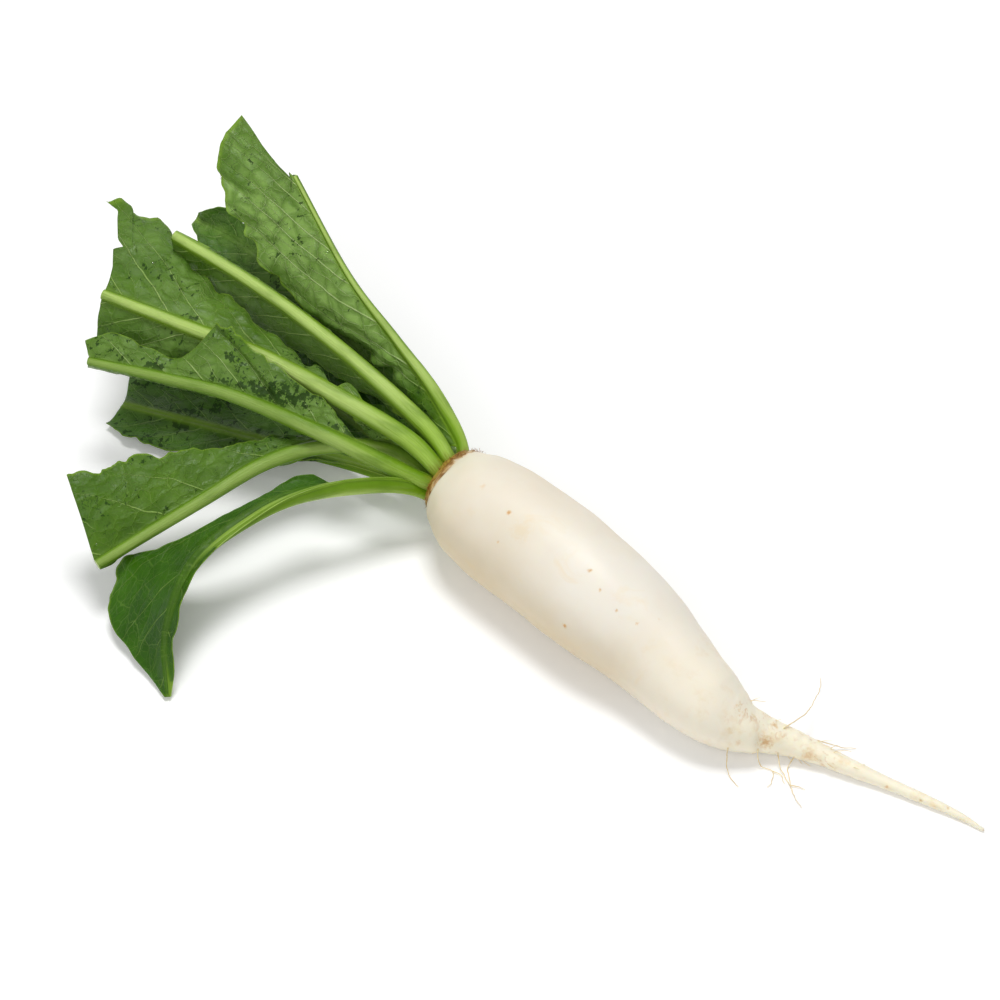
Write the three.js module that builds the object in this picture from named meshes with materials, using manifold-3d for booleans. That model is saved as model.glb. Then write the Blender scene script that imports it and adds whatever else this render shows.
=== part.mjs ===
// A white radish (daikon) as picked: one long taproot and its rosette of leaves, trimmed with a knife,
// lying on its side on a flat surface. Millimetres, +Z up.
//
// The root runs along +X from the crown to the thin tail, and its belly is flat at the height of the surface.
// The leaves leave the crown towards -X and fan out mostly to -Y. Every leaf grew as one piece, so its stalk,
// midrib and blade are one solid, and the root with its crown and tail is one solid.

import * as THREE from 'three';
import { mergeVertices } from 'three/addons/utils/BufferGeometryUtils.js';
import Module from 'manifold-3d';

const wasm = await Module();
wasm.setup();

// ---------------------------------------------------------------------------------------------------------
// Driving dimensions
// ---------------------------------------------------------------------------------------------------------

const ROOT_SIDES = 24;          // corners of a root section; one side lies flat on the surface
const ROOT_RINGS = 34;          // sections along the root
const CROWN_GAP = 0.3;          // clearance between the crown and the foot of a leaf
const BLADE_THICKNESS = 1.2;    // a leaf blade
const STALK_DEPTH = 0.86;       // depth of a stalk as a part of its width
const LEAF_RINGS = 18;          // sections along a full leaf
const HEART_RINGS = 11;         // sections along a young leaf
const WING = 0.7;               // least width of the ridge beside a bare stalk
const CENTRE = [35, -52];       // middle of the whole plant's footprint, measured from the crown
const SHARED_CORNER = 1e-4;     // corners nearer than this are one corner

// Half section of a stalk, in half widths across and half depths up: round below, a shallow channel on top.
const STALK_LOW = [0.7, -0.7];
const STALK_SIDE = [1, 0];
const STALK_JOIN = [0.93, 0.25];
const STALK_SHOULDER = [0.5, 0.85];
const STALK_CHANNEL = 0.62;     // floor of the channel
const BLADE_FOOT = [0.85, 0.5]; // where the middle of a blade's thickness meets the stalk
const BLADE_MIDDLE = 0.5;       // part of the reach at which a half blade has a second row of corners

// Root: distance from the crown, sideways bend, radius, and clearance under the belly.
const ROOT = [
  [-6, 0, 11.8, 20],
  [-3.5, 0, 13.2, 18.6],
  [-1, 0, 13.6, 18.3],
  [1, 0, 18.5, 13.6],
  [5, 0, 23.6, 8.6],
  [13, -1, 27.8, 3.9],
  [25, -2, 30.2, 1],
  [40, -2, 31.4, 0],
  [70, -2, 31.7, 0],
  [93, -3, 31.1, 0],
  [113, -3, 30, 0],
  [134, -3, 27.4, 0],
  [154, -5, 24.3, 0],
  [174, -7, 21.5, 0],
  [190, -6, 18.7, 0],
  [203, -2, 13.8, 0],
  [212, 4, 9.8, 0],
  [224, 11, 7.2, 0],
  [239, 17, 5.2, 0],
  [255, 22, 4.2, 0],
  [270, 27, 3.2, 0],
  [293, 34, 2.4, 0],
  [308, 38, 1.7, 0],
  [321, 40, 0.8, 0],
];

// Leaves. `rib` is the way of the stalk and midrib from the crown to its cut end. `face` is the way the upper
// face looks, at even steps along the rib. `girth` is the half width of the stalk: [part of the length, mm].
// `right` and `left` are the half blades: [part of the length, reach, fold towards the upper face in degrees,
// how far the margin is swept forward].
const LEAVES = [
  {
    name: 'leaf_top',
    rib: [[-2, 8, 39], [-14, 17, 43], [-41, 24, 56], [-73, 27, 70], [-113, 31, 87], [-166, 43, 116]],
    face: [[0, -0.8, -0.6], [-0.4, 0.4, -0.8], [-0.4, 0.5, -0.75], [-0.4, 0.5, -0.75]],
    girth: [[0, 2.6], [0.05, 2.9], [0.12, 3.7], [0.5, 2.5], [1, 1.5]],
    right: [[0.12, 0, 35, 0], [0.3, 8, 38, 10], [0.4, 17, 32, 10], [0.52, 25, 20, 11], [0.62, 28, 9, 16],
      [0.72, 34, 2, 20], [0.8, 38, -3, 28], [0.88, 34, -8, 34], [0.95, 28, -12, 37], [1, 11, -20, 38]],
    left: [[0.15, 0, 110, 0], [0.4, 9, 115, 4], [0.65, 19, 118, 8], [0.85, 20, 115, 8], [1, 8, 100, 4]],
  },
  {
    name: 'leaf_upper',
    rib: [[-2, 1, 42], [-24, 6, 48], [-57, 6, 57], [-99, 3, 68], [-150, -4, 79], [-202, -14, 87]],
    face: [[0, 0, -1], [-0.3, 0.5, -0.8], [-0.3, 0.5, -0.8]],
    girth: [[0, 2.7], [0.05, 3.2], [0.12, 4.7], [0.5, 3.8], [1, 3.1]],
    right: [[0.1, 0, 50, 0], [0.25, 7, 55, 0], [0.45, 18, 52, 3], [0.6, 25, 50, 5], [0.74, 22, 50, 4],
      [0.84, 5, 50, 0], [1, 3, 50, 0]],
    left: [[0.15, 0, 70, 0], [0.35, 11, 78, 3], [0.6, 17, 80, 6], [0.76, 16, 78, 5],
      [0.88, 6, 70, 0], [1, 3, 65, 0]],
  },
  {
    name: 'leaf_middle',
    rib: [[-2, -6, 41], [-30, -7, 50], [-76, -18, 59], [-117, -30, 66], [-160, -46, 70], [-205, -63, 74]],
    face: [[0, 0.6, -0.8], [-0.3, 0.5, -0.8], [-0.3, 0.5, -0.8]],
    girth: [[0, 2.7], [0.05, 3.4], [0.12, 5.2], [0.5, 4.6], [1, 2.8]],
    right: [[0.32, 0, 25, 0], [0.5, 9, 25, 0], [0.75, 17, 21, -3], [0.9, 25, 16, -3], [1, 22, 16, -3]],
    left: [[0.3, 0, 20, 0], [0.4, 8, 20, 6], [0.5, 14, 32, 0], [0.62, 22, 34, 3], [0.72, 32, 31, 7],
      [0.82, 45, 28, 14], [0.92, 55, 26, 24], [1, 57, 26, 28]],
  },
  {
    name: 'leaf_front',
    rib: [[-2, -10, 35.5], [-24, -21, 42], [-65, -37, 51], [-111, -55, 58], [-149, -75, 60], [-183, -93, 60]],
    face: [[0, 1, -0.3], [-0.3, 0.6, -0.7], [-0.3, 0.6, -0.7]],
    girth: [[0, 2.6], [0.05, 3], [0.12, 4.4], [0.5, 3.8], [1, 2.1]],
    right: [[0.25, 0, 75, 0], [0.5, 9, 75, 2], [0.75, 14, 75, 4], [1, 12, 75, 4]],
    left: [[0.18, 0, 36, 4], [0.26, 7, 36, 4], [0.34, 14, 23, 2], [0.46, 20, 12, 0], [0.57, 26, 5, 2],
      [0.68, 35, 4, 0], [0.74, 19, 9, -2], [0.8, 12, 17, -4], [0.88, 15, 13, -3], [0.94, 18, 7, 2],
      [1, 10, -3, 4]],
  },
  {
    name: 'leaf_low',
    rib: [[-2, -5, 31], [-36, -10, 37], [-61, -31, 39], [-76, -62, 39], [-82, -104, 36], [-92, -166, 28]],
    face: [[0, 1, 0.2], [-0.4, 0.6, -0.6], [-0.5, 0.3, -0.7], [-0.5, 0.3, -0.7]],
    girth: [[0, 2.2], [0.06, 2.4], [0.14, 3.8], [0.5, 3.9], [1, 2.8]],
    right: [[0.3, 0, 110, 0], [0.6, 12, 110, 2], [0.85, 18, 110, 3], [1, 16, 110, 3]],
    left: [[0.25, 0, 35, 0], [0.36, 5, 35, -4], [0.46, 12, 20, -5], [0.56, 15, 14, -8], [0.7, 28, 9, -7],
      [0.82, 38, 8, -7], [0.92, 41, 5, -11], [1, 45, 4, -12]],
  },
  {
    name: 'leaf_drooping',
    rib: [[-2, -9, 26], [-20, -27, 37.5], [-40, -70, 47], [-48, -104, 46], [-49, -138, 39], [-37, -167, 22],
      [-18, -184, 1.5]],
    face: [[0, 0.9, 0.4], [-0.6, 0.4, 0.5], [-0.1, 0, 1], [0.35, -0.5, 0.8], [0.5, -0.6, 0.6]],
    girth: [[0, 2.6], [0.05, 3], [0.12, 4.2], [0.5, 3.4], [0.8, 1.8], [1, 0.9]],
    right: [[0.22, 0, 30, 0], [0.35, 11, 30, -4], [0.45, 10, 0, -6], [0.52, 12, -12, -6],
      [0.6, 17, -28, -3], [0.67, 30, -36, -3], [0.75, 47, -31, -10], [0.83, 44, -32, -15],
      [0.91, 38, -31, -20], [0.96, 22, -32, -14], [1, 2, -30, 0]],
    left: [[0.3, 0, 55, 0], [0.4, 4, 55, 0], [0.6, 5, 50, 0], [0.78, 8, 45, 0],
      [0.9, 6, 40, 0], [1, 1, 40, 0]],
  },
  {
    name: 'leaf_back',
    rib: [[-2, 3.4, 35.4], [-28, 9, 38], [-62, 16, 42], [-104, 22, 48], [-155, 28, 53], [-216, 31, 61]],
    face: [[0, -0.8, 0], [0, -0.4, 0.9], [0.3, -0.4, 0.8], [0.35, -0.45, 0.8]],
    girth: [[0, 2], [0.06, 2.2], [0.14, 3.4], [0.5, 3.2], [1, 2.2]],
    right: [[0.2, 0, 15, 0], [0.45, 16, 15, 2], [0.7, 24, 12, 4], [1, 24, 8, 6]],
    left: [[0.25, 0, 10, 0], [0.45, 14, 10, 2], [0.7, 24, 5, 4], [0.88, 27, 0, 8], [1, 30, -5, 14]],
  },
  {
    name: 'leaf_under_front',
    rib: [[-2, -3, 22], [-26, -8, 19], [-66, -17, 12], [-110, -33, 6], [-146, -48, 4], [-178, -63, 3]],
    face: [[0, 0.3, 1], [0.1, 0.1, 1], [0.1, 0.1, 1]],
    girth: [[0, 2.6], [0.05, 3], [0.12, 4], [0.5, 3.6], [1, 2.5]],
    right: [[0.2, 0, 10, 0], [0.45, 14, 8, 3], [0.7, 24, 4, 6], [1, 26, 0, 8]],
    left: [[0.25, 0, 10, 0], [0.45, 12, 8, 3], [0.7, 22, 2, 6], [0.9, 23, 0, 4], [1, 17, -2, 2]],
  },
  {
    name: 'leaf_under_middle',
    rib: [[-2, 5, 23], [-26, 7, 19], [-70, 8, 11], [-120, 11, 5], [-162, 13, 4], [-206, 14, 3]],
    face: [[0, -0.5, 0.9], [0.1, 0, 1], [0.1, 0, 1]],
    girth: [[0, 2.6], [0.05, 3], [0.12, 4], [0.5, 3.5], [1, 2.4]],
    right: [[0.25, 0, 10, 0], [0.5, 11, 6, 3], [0.75, 16, 3, 6], [1, 16, 0, 8]],
    left: [[0.25, 0, 10, 0], [0.5, 12, 8, 3], [0.75, 20, 5, 6], [1, 22, 0, 8]],
  },
  {
    name: 'leaf_under_back',
    rib: [[-2, 10, 30], [-20, 18, 25], [-60, 31, 16], [-105, 44, 8], [-140, 54, 4.5], [-175, 62, 3]],
    face: [[0, -1, 0.2], [0.1, -0.1, 1], [0.1, 0, 1]],
    girth: [[0, 2.6], [0.05, 3], [0.12, 4], [0.5, 3.4], [1, 2.4]],
    right: [[0.3, 0, 10, 0], [0.5, 10, 6, 3], [0.75, 17, 2, 6], [1, 18, -2, 8]],
    left: [[0.25, 0, 20, 0], [0.5, 12, 20, 3], [0.75, 18, 12, 6], [1, 18, 8, 8]],
  },
  {
    name: 'leaf_inner_back',
    rib: [[-2, 3.4, 28.6], [-24, 12, 30], [-70, 26, 34], [-120, 38, 36], [-180, 47, 38]],
    face: [[0, -0.7, 0.7], [0.1, -0.1, 1], [0.1, -0.1, 1]],
    girth: [[0, 2], [0.06, 2.2], [0.14, 3.2], [0.5, 3], [1, 2.1]],
    right: [[0.25, 0, 15, 0], [0.5, 12, 12, 2], [0.75, 18, 8, 4], [1, 16, 6, 6]],
    left: [[0.25, 0, 15, 0], [0.5, 14, 10, 2], [0.75, 22, 6, 4], [1, 22, 4, 6]],
  },
  {
    name: 'heart_leaf_long',
    young: true,
    rib: [[-3, -1, 30], [-22, -1, 30], [-48, 2, 29], [-78, 6, 27]],
    face: [[0, 0.3, 0.9], [0, 0.2, 1]],
    girth: [[0, 1.5], [0.3, 2], [1, 1.1]],
    right: [[0.2, 0, 30, 0], [0.5, 6, 30, 1], [0.85, 10, 26, 3], [1, 2, 20, 3]],
    left: [[0.2, 0, 30, 0], [0.5, 6, 30, 1], [0.85, 10, 26, 3], [1, 2, 20, 3]],
  },
  {
    name: 'heart_leaf_short',
    young: true,
    rib: [[-3, 0, 33.5], [-18, 1, 35], [-34, 2, 36], [-52, 4, 36]],
    face: [[0, -0.3, 1], [0, -0.2, 1]],
    girth: [[0, 1.3], [0.3, 1.7], [1, 0.9]],
    right: [[0.2, 0, 35, 0], [0.5, 4, 35, 1], [0.85, 7, 30, 2], [1, 2, 25, 2]],
    left: [[0.2, 0, 35, 0], [0.5, 4, 35, 1], [0.85, 7, 30, 2], [1, 2, 25, 2]],
  },
];

const WHITE_SKIN = { color: 0xefe9dc, roughness: 0.42, metalness: 0 };
const LEAF_GREEN = { color: 0x5c8f36, roughness: 0.5, metalness: 0 };
const YOUNG_GREEN = { color: 0x86b84a, roughness: 0.5, metalness: 0 };

// ---------------------------------------------------------------------------------------------------------
// Curves and tables
// ---------------------------------------------------------------------------------------------------------

const vector = (xyz) => new THREE.Vector3(...xyz);

/** A smooth curve through hand-set points. */
function smoothCurve(points) {
  return new THREE.CatmullRomCurve3(points.map(vector), false, 'catmullrom', 0.5);
}

/** Row of a table at `at`: the first column is the key, and the others follow a smooth curve. */
function lookUp(rows, at) {
  const last = rows.length - 1;
  if (at <= rows[0][0]) return rows[0].slice(1);
  if (at >= rows[last][0]) return rows[last].slice(1);
  let i = 0;
  while (rows[i + 1][0] < at) i += 1;
  const [a, b] = [rows[i], rows[i + 1]];
  const before = rows[Math.max(i - 1, 0)];
  const after = rows[Math.min(i + 2, last)];
  const span = b[0] - a[0];
  const t = (at - a[0]) / span;
  return a.slice(1).map((_, k) => {
    const column = k + 1;
    const slopeA = (b[column] - before[column]) / (b[0] - before[0]) * span;
    const slopeB = (after[column] - a[column]) / (after[0] - a[0]) * span;
    return (2 * t ** 3 - 3 * t ** 2 + 1) * a[column] + (t ** 3 - 2 * t ** 2 + t) * slopeA
      + (3 * t ** 2 - 2 * t ** 3) * b[column] + (t ** 3 - t ** 2) * slopeB;
  });
}

/** Direction at `at` (0 to 1) from vectors given at even steps. */
function blendDirections(directions, at) {
  const place = at * (directions.length - 1);
  const i = Math.min(Math.floor(place), directions.length - 2);
  return vector(directions[i]).lerp(vector(directions[i + 1]), place - i);
}

// ---------------------------------------------------------------------------------------------------------
// Solids
// ---------------------------------------------------------------------------------------------------------

/** Closed skin over rings of equal length; `caps` are the triangles over one ring's own points. */
function skin(rings, caps) {
  const size = rings[0].length;
  const positions = rings.flat().flatMap((p) => [p.x, p.y, p.z]);
  const index = [];
  for (let r = 0; r < rings.length - 1; r += 1) {
    for (let k = 0; k < size; k += 1) {
      const a = r * size + k;
      const b = r * size + (k + 1) % size;
      index.push(a, b, b + size, a, b + size, a + size);
    }
  }
  const end = (rings.length - 1) * size;
  for (const [a, b, c] of caps) {
    index.push(a, c, b);
    index.push(end + a, end + b, end + c);
  }
  const geometry = new THREE.BufferGeometry();
  geometry.setAttribute('position', new THREE.Float32BufferAttribute(positions, 3));
  geometry.setIndex(index);
  return geometry;
}

/** The taproot with its crown and tail. `grow` makes it larger all round, for cutting clearances. */
function rootGeometry(grow = 0) {
  const path = smoothCurve(ROOT.map(([x, y]) => [x, y, 0]));
  const count = ROOT.length - 1;
  const flat = Math.cos(Math.PI / ROOT_SIDES);
  const rings = [];
  for (let i = 0; i <= ROOT_RINGS; i += 1) {
    // Even steps from row to row of the table, so sections crowd together where its rows do.
    const t = i / ROOT_RINGS;
    const [x, y] = path.getPoint(t).toArray();
    const [radius, clearance] = lookUp(ROOT.map(([, , r, c], k) => [k / count, r, c]), t);
    const tangent = path.getTangent(t);
    const side = new THREE.Vector3(-tangent.y, tangent.x, 0);
    const start = i === 0 ? grow : 0;
    const centre = new THREE.Vector3(x - start, y, radius * flat + Math.max(clearance, 0));
    const ring = [];
    for (let k = 0; k < ROOT_SIDES; k += 1) {
      const angle = (k + 0.5) * 2 * Math.PI / ROOT_SIDES - Math.PI / 2;
      ring.push(centre.clone()
        .addScaledVector(side, Math.cos(angle) * (radius + grow))
        .addScaledVector(new THREE.Vector3(0, 0, 1), Math.sin(angle) * (radius + grow)));
    }
    rings.push(ring);
  }
  const fan = [];
  for (let k = 1; k < ROOT_SIDES - 1; k += 1) fan.push([0, k, k + 1]);
  return skin(rings, fan);
}

/** One ring of a leaf: round underneath, channelled on top, with a thin half blade on each side. */
function leafRing(leaf, curve, at) {
  const along = curve.getTangentAt(at);
  const up = blendDirections(leaf.face, at);
  up.addScaledVector(along, -up.dot(along)).normalize();
  const across = new THREE.Vector3().crossVectors(along, up);
  const middle = curve.getPointAt(at);
  const [half] = lookUp(leaf.girth, at);
  const deep = half * STALK_DEPTH;
  const place = (x, y, forward = 0) => middle.clone()
    .addScaledVector(across, x).addScaledVector(up, y).addScaledVector(along, forward);

  const wing = (side, rows) => {
    const [reach, fold, sweep] = lookUp(rows, at);
    const width = Math.max(reach, half + WING);
    const angle = fold * Math.PI / 180;
    const root = [BLADE_FOOT[0] * half, BLADE_FOOT[1] * deep];
    const tip = [width * Math.cos(angle), root[1] + width * Math.sin(angle)];
    const bare = reach <= half + WING;
    if (bare) tip[0] = width;
    if (bare) tip[1] = root[1];
    const chord = new THREE.Vector2(tip[0] - root[0], tip[1] - root[1]).normalize();
    const [nx, ny] = [-chord.y * BLADE_THICKNESS / 2, chord.x * BLADE_THICKNESS / 2];
    const point = (part, face) => place(
      side * (root[0] + (tip[0] - root[0]) * part + face * nx),
      root[1] + (tip[1] - root[1]) * part + face * ny,
      bare ? 0 : sweep * part,
    );
    return [point(BLADE_MIDDLE, -1), point(1, -1), point(1, 1), point(BLADE_MIDDLE, 1)];
  };
  const halfSection = (side, rows) => {
    const corner = ([x, y]) => place(side * x * half, y * deep);
    return [
      corner(STALK_LOW), corner(STALK_SIDE), corner(STALK_JOIN), ...wing(side, rows), corner(STALK_SHOULDER),
    ];
  };

  const right = halfSection(1, leaf.right);
  const left = halfSection(-1, leaf.left);
  return [place(0, -deep), ...left, place(0, STALK_CHANNEL * deep), ...right.reverse()];
}

/** Triangles that close a leaf ring: two half blades and the stalk between them. */
function leafCaps() {
  const bottom = 0;
  const top = 9;
  const leftSide = [1, 2, 3, 4, 5, 6, 7, 8];
  const rightSide = [17, 16, 15, 14, 13, 12, 11, 10];
  const halfCaps = ([low, side, join, midLow, marginLow, marginTop, midTop, shoulder]) => [
    [top, bottom, low], [top, low, side], [top, side, join], [top, join, shoulder],
    [join, midLow, midTop], [join, midTop, shoulder],
    [midLow, marginLow, marginTop], [midLow, marginTop, midTop],
  ];
  const mirrored = halfCaps(rightSide).map(([a, b, c]) => [a, c, b]);
  return [...halfCaps(leftSide), ...mirrored];
}

/** A whole leaf, from inside the crown to its cut end. */
function leafGeometry(leaf) {
  const curve = smoothCurve(leaf.rib);
  const count = leaf.young ? HEART_RINGS : LEAF_RINGS;
  const rings = [];
  for (let i = 0; i < count; i += 1) rings.push(leafRing(leaf, curve, i / (count - 1)));
  return skin(rings, leafCaps());
}

// ---------------------------------------------------------------------------------------------------------
// Cutting and assembly
// ---------------------------------------------------------------------------------------------------------

/** A geometry with shared corners as a solid that can be cut. */
function toSolid(geometry) {
  const merged = mergeVertices(geometry, SHARED_CORNER);
  return new wasm.Manifold(new wasm.Mesh({
    numProp: 3,
    vertProperties: new Float32Array(merged.attributes.position.array),
    triVerts: new Uint32Array(merged.index.array),
  }));
}

/** A cut solid as a geometry again. */
function toGeometry(solid) {
  const { vertProperties, triVerts } = solid.getMesh();
  const geometry = new THREE.BufferGeometry();
  geometry.setAttribute('position', new THREE.Float32BufferAttribute(vertProperties, 3));
  geometry.setIndex([...triVerts]);
  return geometry;
}

/** A named mesh in its own material. */
function piece(name, geometry, finish) {
  const mesh = new THREE.Mesh(geometry, new THREE.MeshStandardMaterial(finish));
  mesh.name = name;
  geometry.computeVertexNormals();
  return mesh;
}

const radish = new THREE.Group();
radish.position.set(-CENTRE[0], -CENTRE[1], 0);
radish.add(piece('taproot', rootGeometry(), WHITE_SKIN));

const crownSpace = toSolid(rootGeometry(CROWN_GAP));
for (const leaf of LEAVES) {
  const trimmed = toSolid(leafGeometry(leaf)).subtract(crownSpace);
  radish.add(piece(leaf.name, toGeometry(trimmed), leaf.young ? YOUNG_GREEN : LEAF_GREEN));
}

export default radish;
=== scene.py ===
import logging
import math
from dataclasses import dataclass, field
from enum import Enum

import bpy
import numpy as np
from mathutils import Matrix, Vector


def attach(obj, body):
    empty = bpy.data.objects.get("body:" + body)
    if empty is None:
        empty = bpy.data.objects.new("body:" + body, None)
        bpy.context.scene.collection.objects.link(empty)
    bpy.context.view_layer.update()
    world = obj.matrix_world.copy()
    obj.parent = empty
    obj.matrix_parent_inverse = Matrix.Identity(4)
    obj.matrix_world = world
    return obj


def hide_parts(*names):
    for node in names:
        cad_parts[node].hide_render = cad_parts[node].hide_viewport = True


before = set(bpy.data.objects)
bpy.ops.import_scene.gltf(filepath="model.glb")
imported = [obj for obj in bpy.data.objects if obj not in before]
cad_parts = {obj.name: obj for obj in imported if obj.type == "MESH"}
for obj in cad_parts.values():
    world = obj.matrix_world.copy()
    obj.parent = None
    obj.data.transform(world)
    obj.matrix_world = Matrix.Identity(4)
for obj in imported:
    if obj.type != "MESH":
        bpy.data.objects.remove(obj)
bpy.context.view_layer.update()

LOG = logging.getLogger("white_radish")
MM = 0.001                                   # tables are in millimetres, Blender in metres
PLANT_SHIFT = np.array([-35.0, 52.0, 0.0])   # from the crown's own frame to the row's frame, mm

Table = tuple[tuple[float, ...], ...]
Sockets = "bpy.types.NodeSocket | float | tuple"


# ---------------------------------------------------------------------------------------------------------
# Numbers: tables, curves and noise
# ---------------------------------------------------------------------------------------------------------

def look_up(rows: Table, at: np.ndarray) -> np.ndarray:
    """Reads a table whose first column is the key, along a smooth curve through its rows.

    Args:
        rows: The table, sorted by key.
        at: Keys to read at.

    Returns:
        One row of the other columns for each key.
    """
    table = np.asarray(rows, float)
    keys = table[:, 0]
    last = len(keys) - 1
    at = np.clip(at, keys[0], keys[-1])
    i = np.clip(np.searchsorted(keys, at, side="right") - 1, 0, last - 1)
    before, after = np.maximum(i - 1, 0), np.minimum(i + 2, last)
    a, b = table[i], table[i + 1]
    span = (b[:, 0] - a[:, 0])[:, None]
    t = (at - a[:, 0])[:, None] / span
    slope_a = (b - table[before]) / (b[:, 0] - table[before][:, 0])[:, None] * span
    slope_b = (table[after] - a) / (table[after][:, 0] - a[:, 0])[:, None] * span
    smooth = ((2 * t**3 - 3 * t**2 + 1) * a + (t**3 - 2 * t**2 + t) * slope_a
              + (3 * t**2 - 2 * t**3) * b + (t**3 - t**2) * slope_b)
    return smooth[:, 1:]


def smooth_curve(points: Table, samples: int) -> np.ndarray:
    """Samples a smooth curve through given points, at even steps of its own parameter.

    Args:
        points: The points.
        samples: How many samples to take.

    Returns:
        The samples, one row each.
    """
    p = np.asarray(points, float)
    place = np.linspace(0, len(p) - 1, samples)
    i = np.minimum(place.astype(int), len(p) - 2)
    f = (place - i)[:, None]
    q = np.vstack([2 * p[0] - p[1], p, 2 * p[-1] - p[-2]])
    before, start, end, after = q[i], q[i + 1], q[i + 2], q[i + 3]
    leave, arrive = (end - before) / 2, (after - start) / 2
    return ((2 * start - 2 * end + leave + arrive) * f**3
            + (-3 * start + 3 * end - 2 * leave - arrive) * f**2 + leave * f + start)


def arc_length(points: np.ndarray) -> np.ndarray:
    """Distance along a polyline at each of its points, starting from 0."""
    return np.r_[0, np.cumsum(np.linalg.norm(np.diff(points, axis=0), axis=1))]


def even_steps(points: np.ndarray, count: int) -> np.ndarray:
    """Resamples a polyline at even distances along itself.

    Args:
        points: The polyline.
        count: Number of samples to return.

    Returns:
        The resampled polyline.
    """
    along = arc_length(points)
    at = np.linspace(0, along[-1], count)
    return np.stack([np.interp(at, along, points[:, k]) for k in range(points.shape[1])], -1)


def unit(vectors: np.ndarray) -> np.ndarray:
    """The vectors, each scaled to length 1."""
    return vectors / np.maximum(np.linalg.norm(vectors, axis=-1, keepdims=True), 1e-12)


def ease(low: float, high: float, value: np.ndarray) -> np.ndarray:
    """0 below low, 1 above high, and a smooth step between."""
    t = np.clip((value - low) / (high - low), 0, 1)
    return t * t * (3 - 2 * t)


def lattice(i: np.ndarray, j: np.ndarray, seed: int) -> np.ndarray:
    """A fixed random number from -1 to 1 for each whole-numbered place."""
    h = np.sin(i * 127.1 + j * 311.7 + seed * 74.7) * 43758.5453
    return (h - np.floor(h)) * 2 - 1


def wander(x: np.ndarray, y: np.ndarray | float, seed: int) -> np.ndarray:
    """Smooth noise from -1 to 1, with features one unit across.

    Args:
        x: First coordinate.
        y: Second coordinate.
        seed: Picks the pattern.

    Returns:
        The noise, shaped like x.
    """
    x, y = np.broadcast_arrays(np.asarray(x, float), np.asarray(y, float))
    i, j = np.floor(x), np.floor(y)
    fx, fy = x - i, y - j
    fx, fy = fx * fx * (3 - 2 * fx), fy * fy * (3 - 2 * fy)
    near = lattice(i, j, seed) * (1 - fx) + lattice(i + 1, j, seed) * fx
    far = lattice(i, j + 1, seed) * (1 - fx) + lattice(i + 1, j + 1, seed) * fx
    return near * (1 - fy) + far * fy


# ---------------------------------------------------------------------------------------------------------
# Meshes
# ---------------------------------------------------------------------------------------------------------

@dataclass
class Skin:
    """A closed surface in the making: points, faces, and what the materials read at each point."""

    points: list[np.ndarray] = field(default_factory=list)
    faces: list[tuple[int, ...]] = field(default_factory=list)
    slots: list[int] = field(default_factory=list)
    masks: dict[str, list[np.ndarray]] = field(default_factory=dict)
    charts: dict[str, list[np.ndarray]] = field(default_factory=dict)
    count: int = 0

    def add_points(self, points: np.ndarray, masks: dict[str, np.ndarray],
                   charts: dict[str, np.ndarray]) -> int:
        """Adds points with their masks (one number each) and charts (two numbers each).

        Args:
            points: Positions in the row frame, metres.
            masks: Values for each named mask.
            charts: Pairs for each named chart.

        Returns:
            The number of the first point added.
        """
        first = self.count
        self.points.append(points)
        for name, values in masks.items():
            self.masks.setdefault(name, []).append(values)
        for name, pairs in charts.items():
            self.charts.setdefault(name, []).append(pairs)
        self.count += len(points)
        return first

    def add_faces(self, faces: list[tuple[int, ...]], slot: int = 0) -> None:
        """Adds faces that use one material slot."""
        self.faces.extend(faces)
        self.slots.extend([slot] * len(faces))

    def add_rings(self, first: int, rings: int, size: int) -> None:
        """Joins rings of equal size, numbered one after another, into a tube of quads."""
        r = np.arange(rings - 1)[:, None] * size + first
        k = np.arange(size)[None, :]
        turn = (k + 1) % size
        quads = np.stack([r + k, r + turn, r + size + turn, r + size + k], -1).reshape(-1, 4)
        self.add_faces([tuple(q) for q in quads.tolist()])

    def build(self, name: str, materials: list[bpy.types.Material]) -> bpy.types.Object:
        """Makes the object.

        Args:
            name: The piece's name.
            materials: Its material slots.

        Returns:
            The object, at the origin.
        """
        mesh = bpy.data.meshes.new(name)
        mesh.from_pydata(np.concatenate(self.points).tolist(), [], self.faces)
        mesh.polygons.foreach_set("material_index", self.slots)
        mesh.polygons.foreach_set("use_smooth", [True] * len(self.faces))
        for mask, values in self.masks.items():
            attribute = mesh.attributes.new(mask, "FLOAT", "POINT")
            attribute.data.foreach_set("value", np.concatenate(values).astype(np.float32))
        corners = np.zeros(len(mesh.loops), np.int32)
        mesh.loops.foreach_get("vertex_index", corners)
        for chart, pairs in self.charts.items():
            layer = mesh.uv_layers.new(name=chart)
            layer.data.foreach_set("uv", np.concatenate(pairs)[corners].astype(np.float32).ravel())
        for material in materials:
            mesh.materials.append(material)
        mesh.validate()
        mesh.update()
        piece = bpy.data.objects.new(name, mesh)
        bpy.context.scene.collection.objects.link(piece)
        return piece


def settle(piece: bpy.types.Object, slot: str, *nodes: str) -> None:
    """Gives a finished piece its body, hides the solids it stands for, and reports it with its finish slot.

    Args:
        piece: The piece.
        slot: Material slot of the record.
        *nodes: The solids that it replaces.
    """
    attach(piece, "root")
    if nodes:
        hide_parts(*nodes)
    LOG.info("%s: %d faces, finish %s", piece.name, len(piece.data.polygons), slot)


# ---------------------------------------------------------------------------------------------------------
# Node trees
# ---------------------------------------------------------------------------------------------------------

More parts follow.
